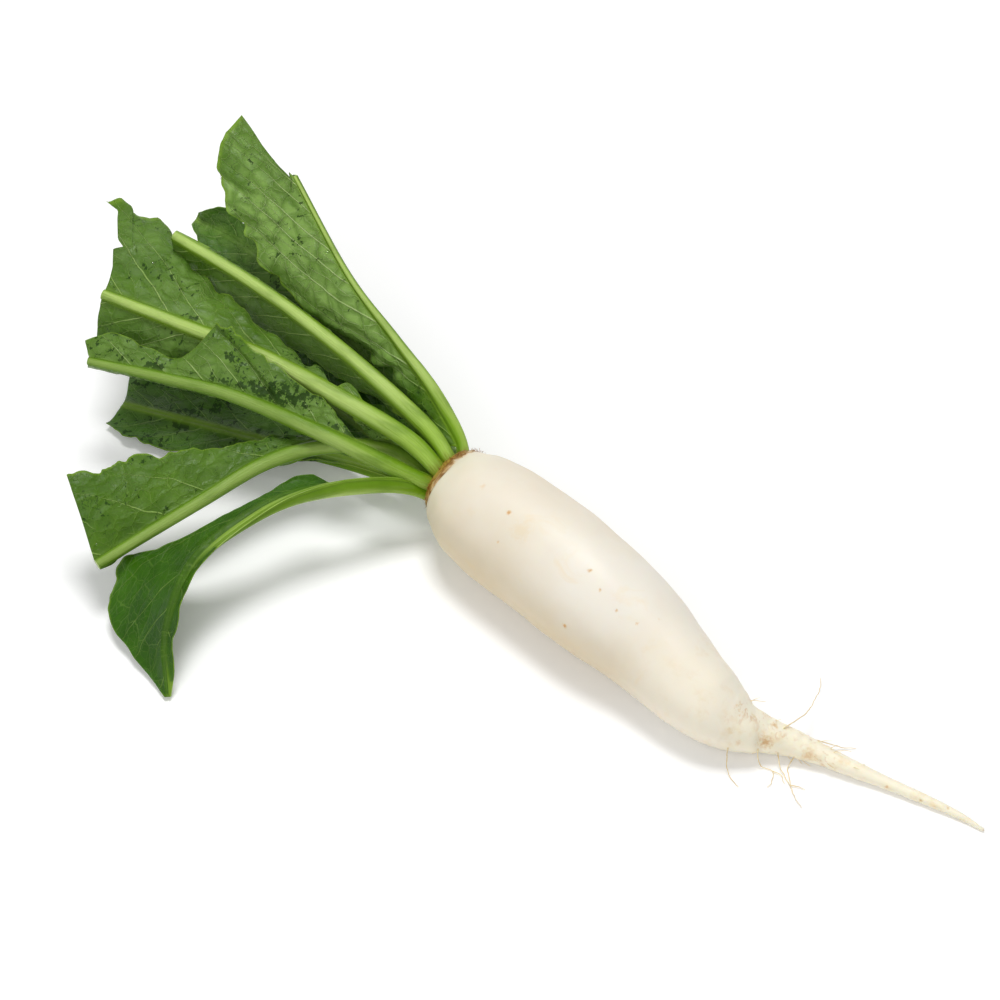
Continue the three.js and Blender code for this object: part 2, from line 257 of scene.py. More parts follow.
class Board:
    """Lays nodes in a tree and wires them in short calls."""

    def __init__(self, tree: bpy.types.NodeTree) -> None:
        """Wraps a tree."""
        self.tree = tree

    def add(self, kind: str, inputs: dict | None = None, **settings: object) -> bpy.types.Node:
        """Adds a node.

        Args:
            kind: The node's type.
            inputs: Values or sockets for its inputs, by name or number.
            **settings: The node's own properties.

        Returns:
            The node.
        """
        node = self.tree.nodes.new(kind)
        for name, value in settings.items():
            setattr(node, name, value)
        for name, value in (inputs or {}).items():
            self.feed(node.inputs[name], value)
        return node

    def feed(self, socket: bpy.types.NodeSocket, value: Sockets) -> None:
        """Links a socket to an input, or writes a constant there."""
        if isinstance(value, bpy.types.NodeSocket):
            self.tree.links.new(value, socket)
        else:
            socket.default_value = value

    def math(self, operation: str, a: Sockets, b: Sockets = 0.0, c: Sockets = 0.0,
             clamp: bool = False) -> bpy.types.NodeSocket:
        """One sum: the operation on a, b and c."""
        node = self.add("ShaderNodeMath", operation=operation, use_clamp=clamp)
        for socket, value in zip(node.inputs, (a, b, c)):
            self.feed(socket, value)
        return node.outputs[0]

    def step(self, value: Sockets, low: float, high: float, start: float = 0.0,
             end: float = 1.0) -> bpy.types.NodeSocket:
        """Smooth step of value: start at low, end at high."""
        node = self.add("ShaderNodeMapRange", interpolation_type="SMOOTHSTEP")
        for socket, number in zip(node.inputs, (value, low, high, start, end)):
            self.feed(socket, number)
        return node.outputs[0]

    def mix(self, share: Sockets, a: Sockets, b: Sockets,
            blend: str = "MIX") -> bpy.types.NodeSocket:
        """Colour a with a share of colour b over it."""
        node = self.add("ShaderNodeMix", data_type="RGBA", blend_type=blend)
        self.feed(node.inputs[0], share)
        self.feed(node.inputs[6], a)
        self.feed(node.inputs[7], b)
        return node.outputs[2]

    def noise(self, vector: Sockets, scale: float, detail: float = 2.0, roughness: float = 0.5,
              distortion: float = 0.0) -> bpy.types.NodeSocket:
        """Noise from 0 to 1 on a vector."""
        return self.add("ShaderNodeTexNoise", {
            "Vector": vector, "Scale": scale, "Detail": detail, "Roughness": roughness,
            "Distortion": distortion,
        }).outputs[0]

    def stretch(self, vector: Sockets, scale: tuple[float, float, float]) -> bpy.types.NodeSocket:
        """A vector multiplied axis by axis."""
        return self.add("ShaderNodeMapping", {"Vector": vector, "Scale": scale}).outputs[0]

    def chart(self, name: str) -> bpy.types.NodeSocket:
        """A chart (UV map) of the piece."""
        return self.add("ShaderNodeUVMap", uv_map=name).outputs[0]

    def mask(self, name: str) -> bpy.types.NodeSocket:
        """A mask (point attribute) of the piece, as one number."""
        return self.add("ShaderNodeAttribute", attribute_name=name).outputs["Fac"]

    def axes(self, vector: Sockets) -> list[bpy.types.NodeSocket]:
        """The X, Y and Z of a vector."""
        return list(self.add("ShaderNodeSeparateXYZ", {0: vector}).outputs)


@dataclass(frozen=True)
class Plug:
    """A named socket of a node group."""

    name: str
    kind: str = "NodeSocketFloat"
    value: object = None


def node_group(name: str, kind: str, takes: tuple[Plug, ...], gives: tuple[Plug, ...],
               ) -> tuple[bpy.types.NodeTree, Board, bpy.types.Node, bpy.types.Node]:
    """Makes an empty node group with its sockets.

    Args:
        name: The group's name.
        kind: Type of tree.
        takes: Its inputs.
        gives: Its outputs.

    Returns:
        The tree, a board on it, its input node and its output node.
    """
    tree = bpy.data.node_groups.new(name, kind)
    for plugs, way in ((takes, "INPUT"), (gives, "OUTPUT")):
        for plug in plugs:
            socket = tree.interface.new_socket(plug.name, in_out=way, socket_type=plug.kind)
            if plug.value is not None:
                socket.default_value = plug.value
    board = Board(tree)
    return tree, board, board.add("NodeGroupInput"), board.add("NodeGroupOutput")


def linear(red: int, green: int, blue: int) -> tuple[float, float, float, float]:
    """A screen colour (0 to 255) as a linear one with full alpha."""
    def channel(value: int) -> float:
        """One channel from screen to linear."""
        v = value / 255
        return v / 12.92 if v <= 0.04045 else ((v + 0.055) / 1.055) ** 2.4
    return (channel(red), channel(green), channel(blue), 1.0)


class Effects:
    """The shader groups that several finishes share, each made once."""

    def __init__(self) -> None:
        """Builds the groups."""
        self.mottle = self._mottle()
        self.fibres = self._fibres()
        self.veins = self._veins()
        self.speck = self._speck()

    def _mottle(self) -> bpy.types.NodeTree:
        """Soft irregular patches: a broad noise that a finer one breaks up."""
        tree, b, into, out = node_group(
            "Mottle", "ShaderNodeTree",
            (Plug("Vector", "NodeSocketVector"), Plug("Scale", value=50.0), Plug("Edge", value=0.1),
             Plug("Level", value=0.5)),
            (Plug("Mask"),))
        vector = into.outputs["Vector"]
        broad = b.add("ShaderNodeTexNoise", {"Vector": vector, "Scale": into.outputs["Scale"],
                                             "Detail": 5.0, "Roughness": 0.62, "Distortion": 0.6})
        low = b.math("SUBTRACT", into.outputs["Level"], into.outputs["Edge"])
        high = b.math("ADD", into.outputs["Level"], into.outputs["Edge"])
        step = b.add("ShaderNodeMapRange", interpolation_type="SMOOTHSTEP")
        for socket, value in zip(step.inputs, (broad.outputs[0], low, high)):
            b.feed(socket, value)
        b.feed(out.inputs[0], step.outputs[0])
        return tree

    def _fibres(self) -> bpy.types.NodeTree:
        """Fine lines along the first axis of a chart, crossed by fainter ones."""
        tree, b, into, out = node_group(
            "Fibres", "ShaderNodeTree",
            (Plug("Chart", "NodeSocketVector"), Plug("Lines", value=1600.0), Plug("Cross", value=500.0)),
            (Plug("Height"), Plug("Streak")))
        along, across, _ = b.axes(into.outputs["Chart"])
        lines = b.add("ShaderNodeCombineXYZ", {
            0: b.math("MULTIPLY", along, 30.0), 1: b.math("MULTIPLY", across, into.outputs["Lines"])})
        cross = b.add("ShaderNodeCombineXYZ", {
            0: b.math("MULTIPLY", along, into.outputs["Cross"]), 1: b.math("MULTIPLY", across, 90.0)})
        line = b.noise(lines.outputs[0], 1.0, 3.0, 0.6)
        band = b.noise(cross.outputs[0], 1.0, 2.0, 0.5)
        b.feed(out.inputs["Height"], b.math("MULTIPLY_ADD", band, 0.35, line))
        b.feed(out.inputs["Streak"], b.step(line, 0.35, 0.68))
        return tree

    def _veins(self) -> bpy.types.NodeTree:
        """Side veins, broken thinner ones between them, and the net of cells that joins them."""
        tree, b, into, out = node_group(
            "Leaf Veins", "ShaderNodeTree",
            (Plug("Chart", "NodeSocketVector"), Plug("Count"), Plug("Reach"), Plug("Width", value=0.04)),
            (Plug("Side"), Plug("Net"), Plug("Cell"), Plug("Height")))
        chart, count, reach = (into.outputs[k] for k in ("Chart", "Count", "Reach"))
        swayed = b.math("ADD", count, b.math("MULTIPLY_ADD", b.noise(chart, 45.0, 2.0), 0.3, -0.15))
        width = b.math("MULTIPLY", into.outputs["Width"], b.step(reach, 0.0, 1.0, 1.0, 0.3))
        side = self._line(b, swayed, width)
        on_blade = b.step(reach, -0.3, 0.0)
        between = b.math("ADD", swayed, b.math("MULTIPLY_ADD", b.noise(chart, 50.0, 1.0), 0.6, 0.2))
        broken = b.step(b.noise(chart, 62.0, 1.0), 0.46, 0.56, 0.0, 0.6)
        thin = b.math("MULTIPLY", self._line(b, between, b.math("MULTIPLY", width, 0.6)), broken)
        warp = b.add("ShaderNodeVectorMath", {
            0: b.add("ShaderNodeTexNoise", {"Vector": chart, "Scale": 130.0, "Detail": 2.0}).outputs[1],
            1: (0.006, 0.006, 0.0), 2: chart}, operation="MULTIPLY_ADD").outputs[0]
        coarse = self._cells(b, b.stretch(warp, (0.8, 1.2, 1.0)), 112.0)
        fine = self._cells(b, warp, 340.0)
        net = b.math("MAXIMUM", b.step(coarse, 0.0, 0.045, 1.0, 0.0), b.step(fine, 0.0, 0.09, 0.5, 0.0))
        net = b.math("MULTIPLY", net, b.step(b.noise(chart, 38.0, 2.0), 0.38, 0.6, 0.3, 1.0))
        cell = b.step(coarse, 0.0, 0.34)
        both = b.math("MULTIPLY", b.math("MAXIMUM", side, thin), on_blade)
        b.feed(out.inputs["Side"], both)
        b.feed(out.inputs["Net"], net)
        b.feed(out.inputs["Cell"], cell)
        relief = b.math("MULTIPLY_ADD", net, 0.5, both)
        b.feed(out.inputs["Height"], b.math("MULTIPLY_ADD", cell, -0.5, relief))
        return tree

    @staticmethod
    def _line(board: Board, count: Sockets, width: Sockets) -> bpy.types.NodeSocket:
        """A line wherever the count is whole, as wide as asked on each side."""
        away = board.math("DIVIDE", board.math("PINGPONG", count, 0.5), width)
        return board.math("MULTIPLY_ADD", away, -1.6, 1.6, clamp=True)

    @staticmethod
    def _cells(board: Board, vector: Sockets, scale: float) -> bpy.types.NodeSocket:
        """Distance to the nearest wall of a net of cells."""
        return board.add("ShaderNodeTexVoronoi", {"Vector": vector, "Scale": scale},
                         feature="DISTANCE_TO_EDGE", voronoi_dimensions="2D").outputs["Distance"]

    def _speck(self) -> bpy.types.NodeTree:
        """One spot with a ragged edge round a centre."""
        tree, b, into, out = node_group(
            "Speck", "ShaderNodeTree",
            (Plug("Vector", "NodeSocketVector"), Plug("Centre", "NodeSocketVector"),
             Plug("Radius", value=0.001)),
            (Plug("Mask"),))
        away = b.add("ShaderNodeVectorMath", {0: into.outputs["Vector"], 1: into.outputs["Centre"]},
                     operation="DISTANCE").outputs["Value"]
        rough = b.noise(into.outputs["Vector"], 620.0, 4.0, 0.7)
        reach = b.math("MULTIPLY", into.outputs["Radius"], b.math("MULTIPLY_ADD", rough, 3.4, -0.6))
        b.feed(out.inputs[0], b.math("MULTIPLY_ADD", b.math("DIVIDE", away, reach), -1.45, 1.45, clamp=True))
        return tree


def place_group(board: Board, tree: bpy.types.NodeTree, inputs: dict) -> bpy.types.Node:
    """Places a shader group in a material and feeds its inputs."""
    node = board.add("ShaderNodeGroup", node_tree=tree)
    for name, value in inputs.items():
        board.feed(node.inputs[name], value)
    return node


def new_material(name: str) -> tuple[bpy.types.Material, Board, bpy.types.Node]:
    """Makes a material with a Principled shader.

    Args:
        name: The material's name.

    Returns:
        The material, a board on its tree and its Principled node.
    """
    material = bpy.data.materials.new(name)
    material.use_nodes = True
    shader = next(n for n in material.node_tree.nodes if n.type == "BSDF_PRINCIPLED")
    return material, Board(material.node_tree), shader


def grow(name: str, source: bpy.types.Object, tree: bpy.types.NodeTree, inputs: dict) -> bpy.types.Object:
    """Runs a Geometry Nodes tree on a source and keeps the result as a plain piece.

    Args:
        name: The piece's name.
        source: The object that the tree starts from; it is removed.
        tree: The tree.
        inputs: Values for the tree's inputs, by name.

    Returns:
        The piece, at the origin.
    """
    modifier = source.modifiers.new("grow", "NODES")
    modifier.node_group = tree
    for socket in tree.interface.items_tree:
        if socket.in_out == "INPUT" and socket.name in inputs:
            modifier[socket.identifier] = inputs[socket.name]
    evaluated = source.evaluated_get(bpy.context.evaluated_depsgraph_get())
    mesh = bpy.data.meshes.new_from_object(evaluated)
    mesh.name = name
    bpy.data.objects.remove(source)
    piece = bpy.data.objects.new(name, mesh)
    bpy.context.scene.collection.objects.link(piece)
    return piece


class Growth:
    """The Geometry Nodes trees, each made once."""

    GEOMETRY = Plug("Geometry", "NodeSocketGeometry")
    FINISH = Plug("Finish", "NodeSocketMaterial")
    SEED = Plug("Seed", "NodeSocketInt", 1)

    def __init__(self) -> None:
        """Builds the trees."""
        self.threads = self._threads()
        self.fringe = self._fringe()
        self.drops = self._drops()

    @classmethod
    def _tree(cls, name: str, *takes: Plug) -> tuple[bpy.types.NodeTree, Board, dict, bpy.types.Node]:
        """An empty tree that takes and gives geometry, with its sockets by name and its output node."""
        tree, board, into, out = node_group(name, "GeometryNodeTree", (cls.GEOMETRY, cls.FINISH, *takes),
                                            (cls.GEOMETRY,))
        return tree, board, dict(into.outputs.items()), out

    @staticmethod
    def _finish(b: Board, geometry: bpy.types.NodeSocket, finish: bpy.types.NodeSocket,
                out: bpy.types.Node) -> None:
        """Ends a tree: plain, smooth geometry with its material."""
        real = b.add("GeometryNodeRealizeInstances", {"Geometry": geometry}).outputs[0]
        smooth = b.add("GeometryNodeSetShadeSmooth", {"Geometry": real}).outputs[0]
        dressed = b.add("GeometryNodeSetMaterial", {"Geometry": smooth, "Material": finish}).outputs[0]
        b.feed(out.inputs[0], dressed)

    def _threads(self) -> bpy.types.NodeTree:
        """Round threads along polylines, as thick as their 'thickness', with a slight wobble."""
        tree, b, into, out = self._tree("Threads", Plug("Sides", "NodeSocketInt", 6), Plug("Wobble"),
                                        Plug("Steps", "NodeSocketFloat", 0.001), self.SEED)
        curve = b.add("GeometryNodeMeshToCurve", {"Mesh": into["Geometry"]}).outputs[0]
        curve = b.add("GeometryNodeResampleCurve", {"Curve": curve, "Length": into["Steps"]},
                      mode="LENGTH").outputs[0]
        place = b.add("GeometryNodeInputPosition").outputs[0]
        noise = b.add("ShaderNodeTexNoise", {"Vector": place, "W": into["Seed"], "Scale": 260.0},
                      noise_dimensions="4D").outputs[1]
        centred = b.add("ShaderNodeVectorMath", {0: noise, 1: (0.5, 0.5, 0.5)}, operation="SUBTRACT").outputs[0]
        along = b.add("GeometryNodeSplineParameter").outputs["Factor"]
        reach = b.math("MULTIPLY", into["Wobble"], b.step(along, 0.0, 0.25))
        shift = b.add("ShaderNodeVectorMath", {0: centred, "Scale": reach}, operation="SCALE").outputs[0]
        curve = b.add("GeometryNodeSetPosition", {"Geometry": curve, "Offset": shift}).outputs[0]
        thickness = b.add("GeometryNodeInputNamedAttribute", {"Name": "thickness"}, data_type="FLOAT").outputs[0]
        section = b.add("GeometryNodeCurvePrimitiveCircle", {"Resolution": into["Sides"], "Radius": 1.0}
                        ).outputs[0]
        body = b.add("GeometryNodeCurveToMesh", {"Curve": curve, "Profile Curve": section, "Scale": thickness,
                                                 "Fill Caps": True}).outputs[0]
        self._finish(b, body, into["Finish"], out)
        return tree

    def _fringe(self) -> bpy.types.NodeTree:
        """Short bent strands that stand on a closed line and lean the way its 'outward' points."""
        tree, b, into, out = self._tree(
            "Fringe", Plug("Count", "NodeSocketInt", 200), Plug("Length", value=0.005),
            Plug("Thickness", value=0.0002), Plug("Band", "NodeSocketVector"), Plug("Unruly", value=0.6), self.SEED)
        line = b.add("GeometryNodeMeshToCurve", {"Mesh": into["Geometry"]}).outputs[0]
        line = b.add("GeometryNodeResampleCurve", {"Curve": line, "Count": into["Count"]}, mode="COUNT").outputs[0]
        spread = self._random_vector(b, into["Seed"], 0)
        offset = b.add("ShaderNodeVectorMath", {0: spread, 1: into["Band"]}, operation="MULTIPLY").outputs[0]
        line = b.add("GeometryNodeSetPosition", {"Geometry": line, "Offset": offset}).outputs[0]
        outward = b.add("GeometryNodeInputNamedAttribute", {"Name": "outward"}, data_type="FLOAT_VECTOR").outputs[0]
        unruly = b.add("ShaderNodeVectorMath", {0: self._random_vector(b, into["Seed"], 1),
                                                "Scale": into["Unruly"]}, operation="SCALE").outputs[0]
        way = b.add("ShaderNodeVectorMath", {0: outward, 1: unruly}, operation="ADD").outputs[0]
        turn = b.add("FunctionNodeAlignRotationToVector", {"Vector": way}, axis="Z").outputs[0]
        tall = b.add("ShaderNodeVectorMath", {0: outward}, operation="LENGTH").outputs["Value"]
        strand = b.add("GeometryNodeCurveQuadraticBezier", {
            "Resolution": 5, "Start": (0, 0, 0), "Middle": (0.15, 0, 0.6), "End": (0.5, 0, 1.0)}).outputs[0]
        strand = b.add("GeometryNodeSetPosition", {
            "Geometry": strand, "Position": b.add("ShaderNodeVectorMath", {
                0: b.add("GeometryNodeInputPosition").outputs[0], "Scale": into["Length"]},
                operation="SCALE").outputs[0]}).outputs[0]
        taper = b.math("MULTIPLY", into["Thickness"],
                       b.step(b.add("GeometryNodeSplineParameter").outputs["Factor"], 0.2, 1.0, 1.0, 0.25))
        section = b.add("GeometryNodeCurvePrimitiveCircle", {"Resolution": 4, "Radius": 1.0}).outputs[0]
        strand = b.add("GeometryNodeCurveToMesh", {"Curve": strand, "Profile Curve": section, "Scale": taper,
                                                   "Fill Caps": True}).outputs[0]
        size = b.add("FunctionNodeRandomValue", {2: 0.35, 3: 1.0, "Seed": into["Seed"]}, data_type="FLOAT"
                     ).outputs[1]
        grown = b.add("GeometryNodeInstanceOnPoints", {
            "Points": line, "Instance": strand, "Rotation": turn, "Scale": b.math("MULTIPLY", size, tall)}).outputs[0]
        self._finish(b, grown, into["Finish"], out)
        return tree

    def _drops(self) -> bpy.types.NodeTree:
        """Flat drops that sit on a surface, where its 'dew' mask is high."""
        tree, b, into, out = self._tree("Drops", Plug("Density", value=1000.0), Plug("Size", value=0.001),
                                        Plug("Flatness", value=0.55), self.SEED)
        dew = b.add("GeometryNodeInputNamedAttribute", {"Name": "dew"}, data_type="FLOAT").outputs[0]
        spots = b.add("GeometryNodeDistributePointsOnFaces", {
            "Mesh": into["Geometry"], "Density": b.math("MULTIPLY", into["Density"], dew), "Seed": into["Seed"]})
        size = b.add("FunctionNodeRandomValue", {2: 0.3, 3: 1.0, "Seed": into["Seed"]}, data_type="FLOAT").outputs[1]
        size = b.math("MULTIPLY", size, into["Size"])
        scale = b.add("ShaderNodeCombineXYZ", {0: size, 1: size, 2: b.math("MULTIPLY", size, into["Flatness"])})
        bead = b.add("GeometryNodeMeshIcoSphere", {"Radius": 1.0, "Subdivisions": 3}).outputs[0]
        grown = b.add("GeometryNodeInstanceOnPoints", {
            "Points": spots.outputs["Points"], "Instance": bead, "Rotation": spots.outputs["Rotation"],
            "Scale": scale.outputs[0]}).outputs[0]
        self._finish(b, grown, into["Finish"], out)
        return tree

    @staticmethod
    def _random_vector(board: Board, seed: Sockets, number: int) -> bpy.types.NodeSocket:
        """A random vector between -1 and 1 on each axis."""
        return board.add("FunctionNodeRandomValue", {
            0: (-1.0, -1.0, -1.0), 1: (1.0, 1.0, 1.0), "Seed": board.math("ADD", seed, float(number * 37))},
            data_type="FLOAT_VECTOR").outputs[0]


def line_mesh(name: str, lines: list[np.ndarray], closed: bool, attribute: str,
              values: list[np.ndarray]) -> bpy.types.Object:
    """Makes polylines, with one number or vector at each point, for a tree to start from.

    Args:
        name: The object's name.
        lines: Points of each line, metres.
        closed: True if each line is a loop.
        attribute: Name of the attribute.
        values: Its values along each line.

    Returns:
        The object.
    """
    mesh = bpy.data.meshes.new(name)
    edges: list[tuple[int, int]] = []
    first = 0
    for line in lines:
        edges += [(first + k, first + k + 1) for k in range(len(line) - 1)]
        edges += [(first + len(line) - 1, first)] if closed else []
        first += len(line)
    mesh.from_pydata(np.concatenate(lines).tolist(), edges, [])
    flat = np.concatenate(values).astype(np.float32)
    kind, key = ("FLOAT", "value") if flat.ndim == 1 else ("FLOAT_VECTOR", "vector")
    mesh.attributes.new(attribute, kind, "POINT").data.foreach_set(key, flat.ravel())
    line_object = bpy.data.objects.new(name, mesh)
    bpy.context.scene.collection.objects.link(line_object)
    return line_object


# ---------------------------------------------------------------------------------------------------------
# Finishes
# ---------------------------------------------------------------------------------------------------------

@dataclass(frozen=True)
class LeafFinish:
    """Green leaf tissue: stalk, blade from above and blade from below, with its veins."""

    name: str
    upper: tuple = linear(58, 102, 8)
    upper_deep: tuple = linear(36, 74, 4)
    lower: tuple = linear(78, 114, 18)
    lower_deep: tuple = linear(48, 82, 4)
    # Painted sheen: the pale grey-green that stands in for glossy light on the blade.
    painted_sheen_colour: tuple = linear(124, 157, 76)
    soaked: tuple = linear(20, 48, 0)
    vein: tuple = linear(142, 176, 82)
    vein_under_painted_sheen: tuple = linear(184, 208, 138)
    stalk: tuple = linear(138, 174, 44)
    # Paler green: the fibre streaks, and the painted highlight along the stalk's ridge.
    stalk_streak_and_highlight: tuple = linear(190, 214, 124)
    stalk_base: tuple = linear(136, 176, 22)
    # Deeper green: random patches, and the painted shade on the stalk's flanks and on stalks that lie in shadow.
    stalk_deep_and_shade: tuple = linear(76, 116, 2)
    foot: tuple = linear(116, 124, 26)
    wet: float = 1.0

    def material(self, effects: Effects) -> bpy.types.Material:
        """Builds the material.

        Args:
            effects: The shared shader groups.

        Returns:
            The material.
        """
        material, b, shader = new_material(self.name)
        chart, veins = b.chart("metric"), b.chart("veins")
        stalk, upper = b.mask("stalk"), b.mask("upper")
        along, across, _ = b.axes(chart)
        count, reach, _ = b.axes(veins)
        lines = place_group(b, effects.veins, {
            "Chart": chart, "Count": count, "Reach": reach, "Width": b.mask("vein_width")})
        side, net, cell = (lines.outputs[k] for k in ("Side", "Net", "Cell"))
        wet = self._wetness(b, chart, across)

        patch = place_group(b, effects.mottle, {"Vector": chart, "Scale": 30.0, "Edge": 0.2}).outputs[0]
        from_above = b.mix(patch, self.upper, self.upper_deep)
        # Painted shade: on the lower face the cell interiors, hollows between the raised veins, are mixed towards the
        # deeper green; the rest of this mix is a random patchy tone.
        from_below = b.mix(b.math("MULTIPLY_ADD", cell, 0.3, b.math("MULTIPLY", patch, 0.7)),
                           self.lower, self.lower_deep)
        # Painted sheen: the blade is blended towards a pale grey-green in place of glossy light, half as much on the
        # upper face and most on the pillow tops at the cell centres; veins under it turn paler too.
        painted_sheen = b.math("MULTIPLY", b.mask("painted_sheen"), b.math("MULTIPLY_ADD", upper, -0.5, 1.0))
        painted_pillow_sheen = b.math("MULTIPLY", painted_sheen, b.math("MULTIPLY_ADD", cell, 0.6, 0.42))
        blade = b.mix(painted_pillow_sheen, b.mix(upper, from_below, from_above), self.painted_sheen_colour)
        vein = b.mix(painted_sheen, self.vein, self.vein_under_painted_sheen)
        blade = b.mix(b.math("MULTIPLY", net, b.math("MULTIPLY_ADD", painted_sheen, 0.14, 0.2)), blade, vein)
        blade = b.mix(b.math("MULTIPLY", side, b.math("MULTIPLY_ADD", upper, -0.4, 0.8)), blade, vein)
        blade = b.mix(b.math("MULTIPLY", wet, 0.85), blade, self.soaked)
        # Painted highlight: the last part of the blade before its margin is mixed towards the paler stalk green, in
        # place of light catching the edge.
        blade = b.mix(b.step(reach, 0.96, 1.0, 0.0, 0.45), blade, self.stalk)

        fibres = place_group(b, effects.fibres, {"Chart": chart, "Lines": 800.0})
        # Painted light round the stalk: a pale highlight painted along its underside ridge and painted shade in deeper
        # green down its flanks; the fibre streaks add real pale lines.
        painted_side_light = b.mask("painted_side_light")
        ridge = b.math("MULTIPLY", b.step(painted_side_light, 0.0, 0.45, 0.7, 0.0), b.step(along, 0.02, 0.07, 0.35, 1.0))
        tone = b.mix(b.step(along, 0.01, 0.05), self.stalk_base, self.stalk)
        tone = b.mix(b.math("MULTIPLY_ADD", fibres.outputs["Streak"], 0.22, ridge), tone, self.stalk_streak_and_highlight)
        tone = b.mix(painted_side_light, tone, self.stalk_deep_and_shade)
        soft = b.noise(b.stretch(chart, (1.0, 3.0, 1.0)), 40.0, 3.0)
        tone = b.mix(b.step(soft, 0.45, 0.75, 0.0, 0.45), tone, self.stalk_deep_and_shade)
        # Painted shade: stalks lying in other leaves' shadow are turned deeper green, less so near the crown.
        painted_shade = b.math("MULTIPLY", b.mask("painted_shade"), b.step(along, 0.04, 0.1, 0.25, 1.0))
        tone = b.mix(painted_shade, tone, self.stalk_deep_and_shade)
        ragged = b.math("MULTIPLY_ADD", b.noise(b.stretch(chart, (1.0, 4.0, 1.0)), 160.0, 3.0), 0.012, along)
        tone = b.mix(b.step(ragged, 0.009, 0.018, 0.75, 0.0), tone, self.foot)
        colour = b.mix(stalk, blade, tone)

        facing = b.math("MULTIPLY_ADD", upper, -1.7, 1.0)
        grain = b.noise(chart, 900.0, 3.0, 0.6)
        relief = b.math("MULTIPLY_ADD", grain, 0.12, b.math("MULTIPLY", lines.outputs["Height"], facing))
        height = b.add("ShaderNodeMix", {0: stalk, 2: relief, 3: fibres.outputs["Height"]})
        bump = b.add("ShaderNodeBump", {"Height": height.outputs[0], "Strength": 0.9, "Distance": 0.0007})
        b.feed(shader.inputs["Base Color"], colour)
        film = place_group(b, effects.mottle, {"Vector": chart, "Scale": 24.0, "Edge": 0.06, "Level": 0.53})
        gloss = b.math("MULTIPLY_ADD", film.outputs[0], -0.14, b.math("MULTIPLY_ADD", grain, 0.14, 0.38))
        b.feed(shader.inputs["Roughness"], b.math("MULTIPLY_ADD", wet, 0.2, gloss, clamp=True))
        b.feed(shader.inputs["Normal"], bump.outputs[0])
        shader.inputs["Specular IOR Level"].default_value = 0.14
        shader.inputs["Subsurface Weight"].default_value = 0.1
        shader.inputs["Subsurface Scale"].default_value = 0.002
        shader.inputs["Subsurface Radius"].default_value = (0.6, 1.0, 0.3)
        return material

    def _wetness(self, b: Board, chart: Sockets, across: Sockets) -> bpy.types.NodeSocket:
        """Dark soaked flecks: in drifts over the blade, and closer together beside the midrib.

        Args:
            b: The material's board.
            chart: Along and across the leaf, metres.
            across: The second axis of the chart.

        Returns:
            The mask.
        """
        share = b.mask("flecks")
        fine = b.noise(b.stretch(chart, (1.3, 0.8, 1.0)), 250.0, 5.0, 0.64)
        broad = b.noise(chart, 34.0, 2.0)
        beside = b.step(b.math("ABSOLUTE", across), 0.003, 0.012, 0.12, 0.0)
        beside = b.math("MULTIPLY", b.math("MULTIPLY", beside, share), b.step(b.noise(chart, 30.0), 0.4, 0.55))
        level = b.math("MULTIPLY_ADD", b.math("SUBTRACT", broad, 0.5), 0.75, b.math("ADD", fine, beside))
        level = b.math("MULTIPLY_ADD", share, 0.2, level)
        fleck = b.step(level, 0.785, 0.8)
        crack = b.noise(b.stretch(chart, (1.3, 0.8, 1.0)), 105.0, 3.0, 0.62)
        crack = b.step(b.math("ABSOLUTE", b.math("SUBTRACT", crack, 0.5)), 0.003, 0.011, 1.0, 0.0)
        torn = b.step(b.noise(b.stretch(chart, (-1.0, 1.0, 1.0)), 90.0, 2.0), 0.56, 0.6)
        crack = b.math("MULTIPLY", b.math("MULTIPLY", crack, torn), b.step(share, 0.0, 0.5, 0.0, 0.8))
        dark = b.math("MAXIMUM", fleck, crack)
        return b.math("MULTIPLY", dark, self.wet)


@dataclass(frozen=True)
class CutFinish:
    """The knife cut at the end of a stalk: pale wet pith inside a green rim."""

    name: str = "Cut Stalk"
    pith: tuple = linear(196, 214, 140)
    rim: tuple = linear(128, 172, 70)

    def material(self, effects: Effects) -> bpy.types.Material:
        """Builds the material.

        Args:
            effects: The shared shader groups.

        Returns:
            The material.
        """
        material, b, shader = new_material(self.name)
        place = b.add("ShaderNodeTexCoord").outputs["Object"]
        bundles = place_group(b, effects.mottle, {"Vector": place, "Scale": 700.0, "Edge": 0.1, "Level": 0.58})
        b.feed(shader.inputs["Base Color"], b.mix(bundles.outputs[0], self.pith, self.rim))
        bump = b.add("ShaderNodeBump", {"Height": bundles.outputs[0], "Strength": 0.5, "Distance": 0.0003})
        b.feed(shader.inputs["Normal"], bump.outputs[0])
        shader.inputs["Roughness"].default_value = 0.35
        return material


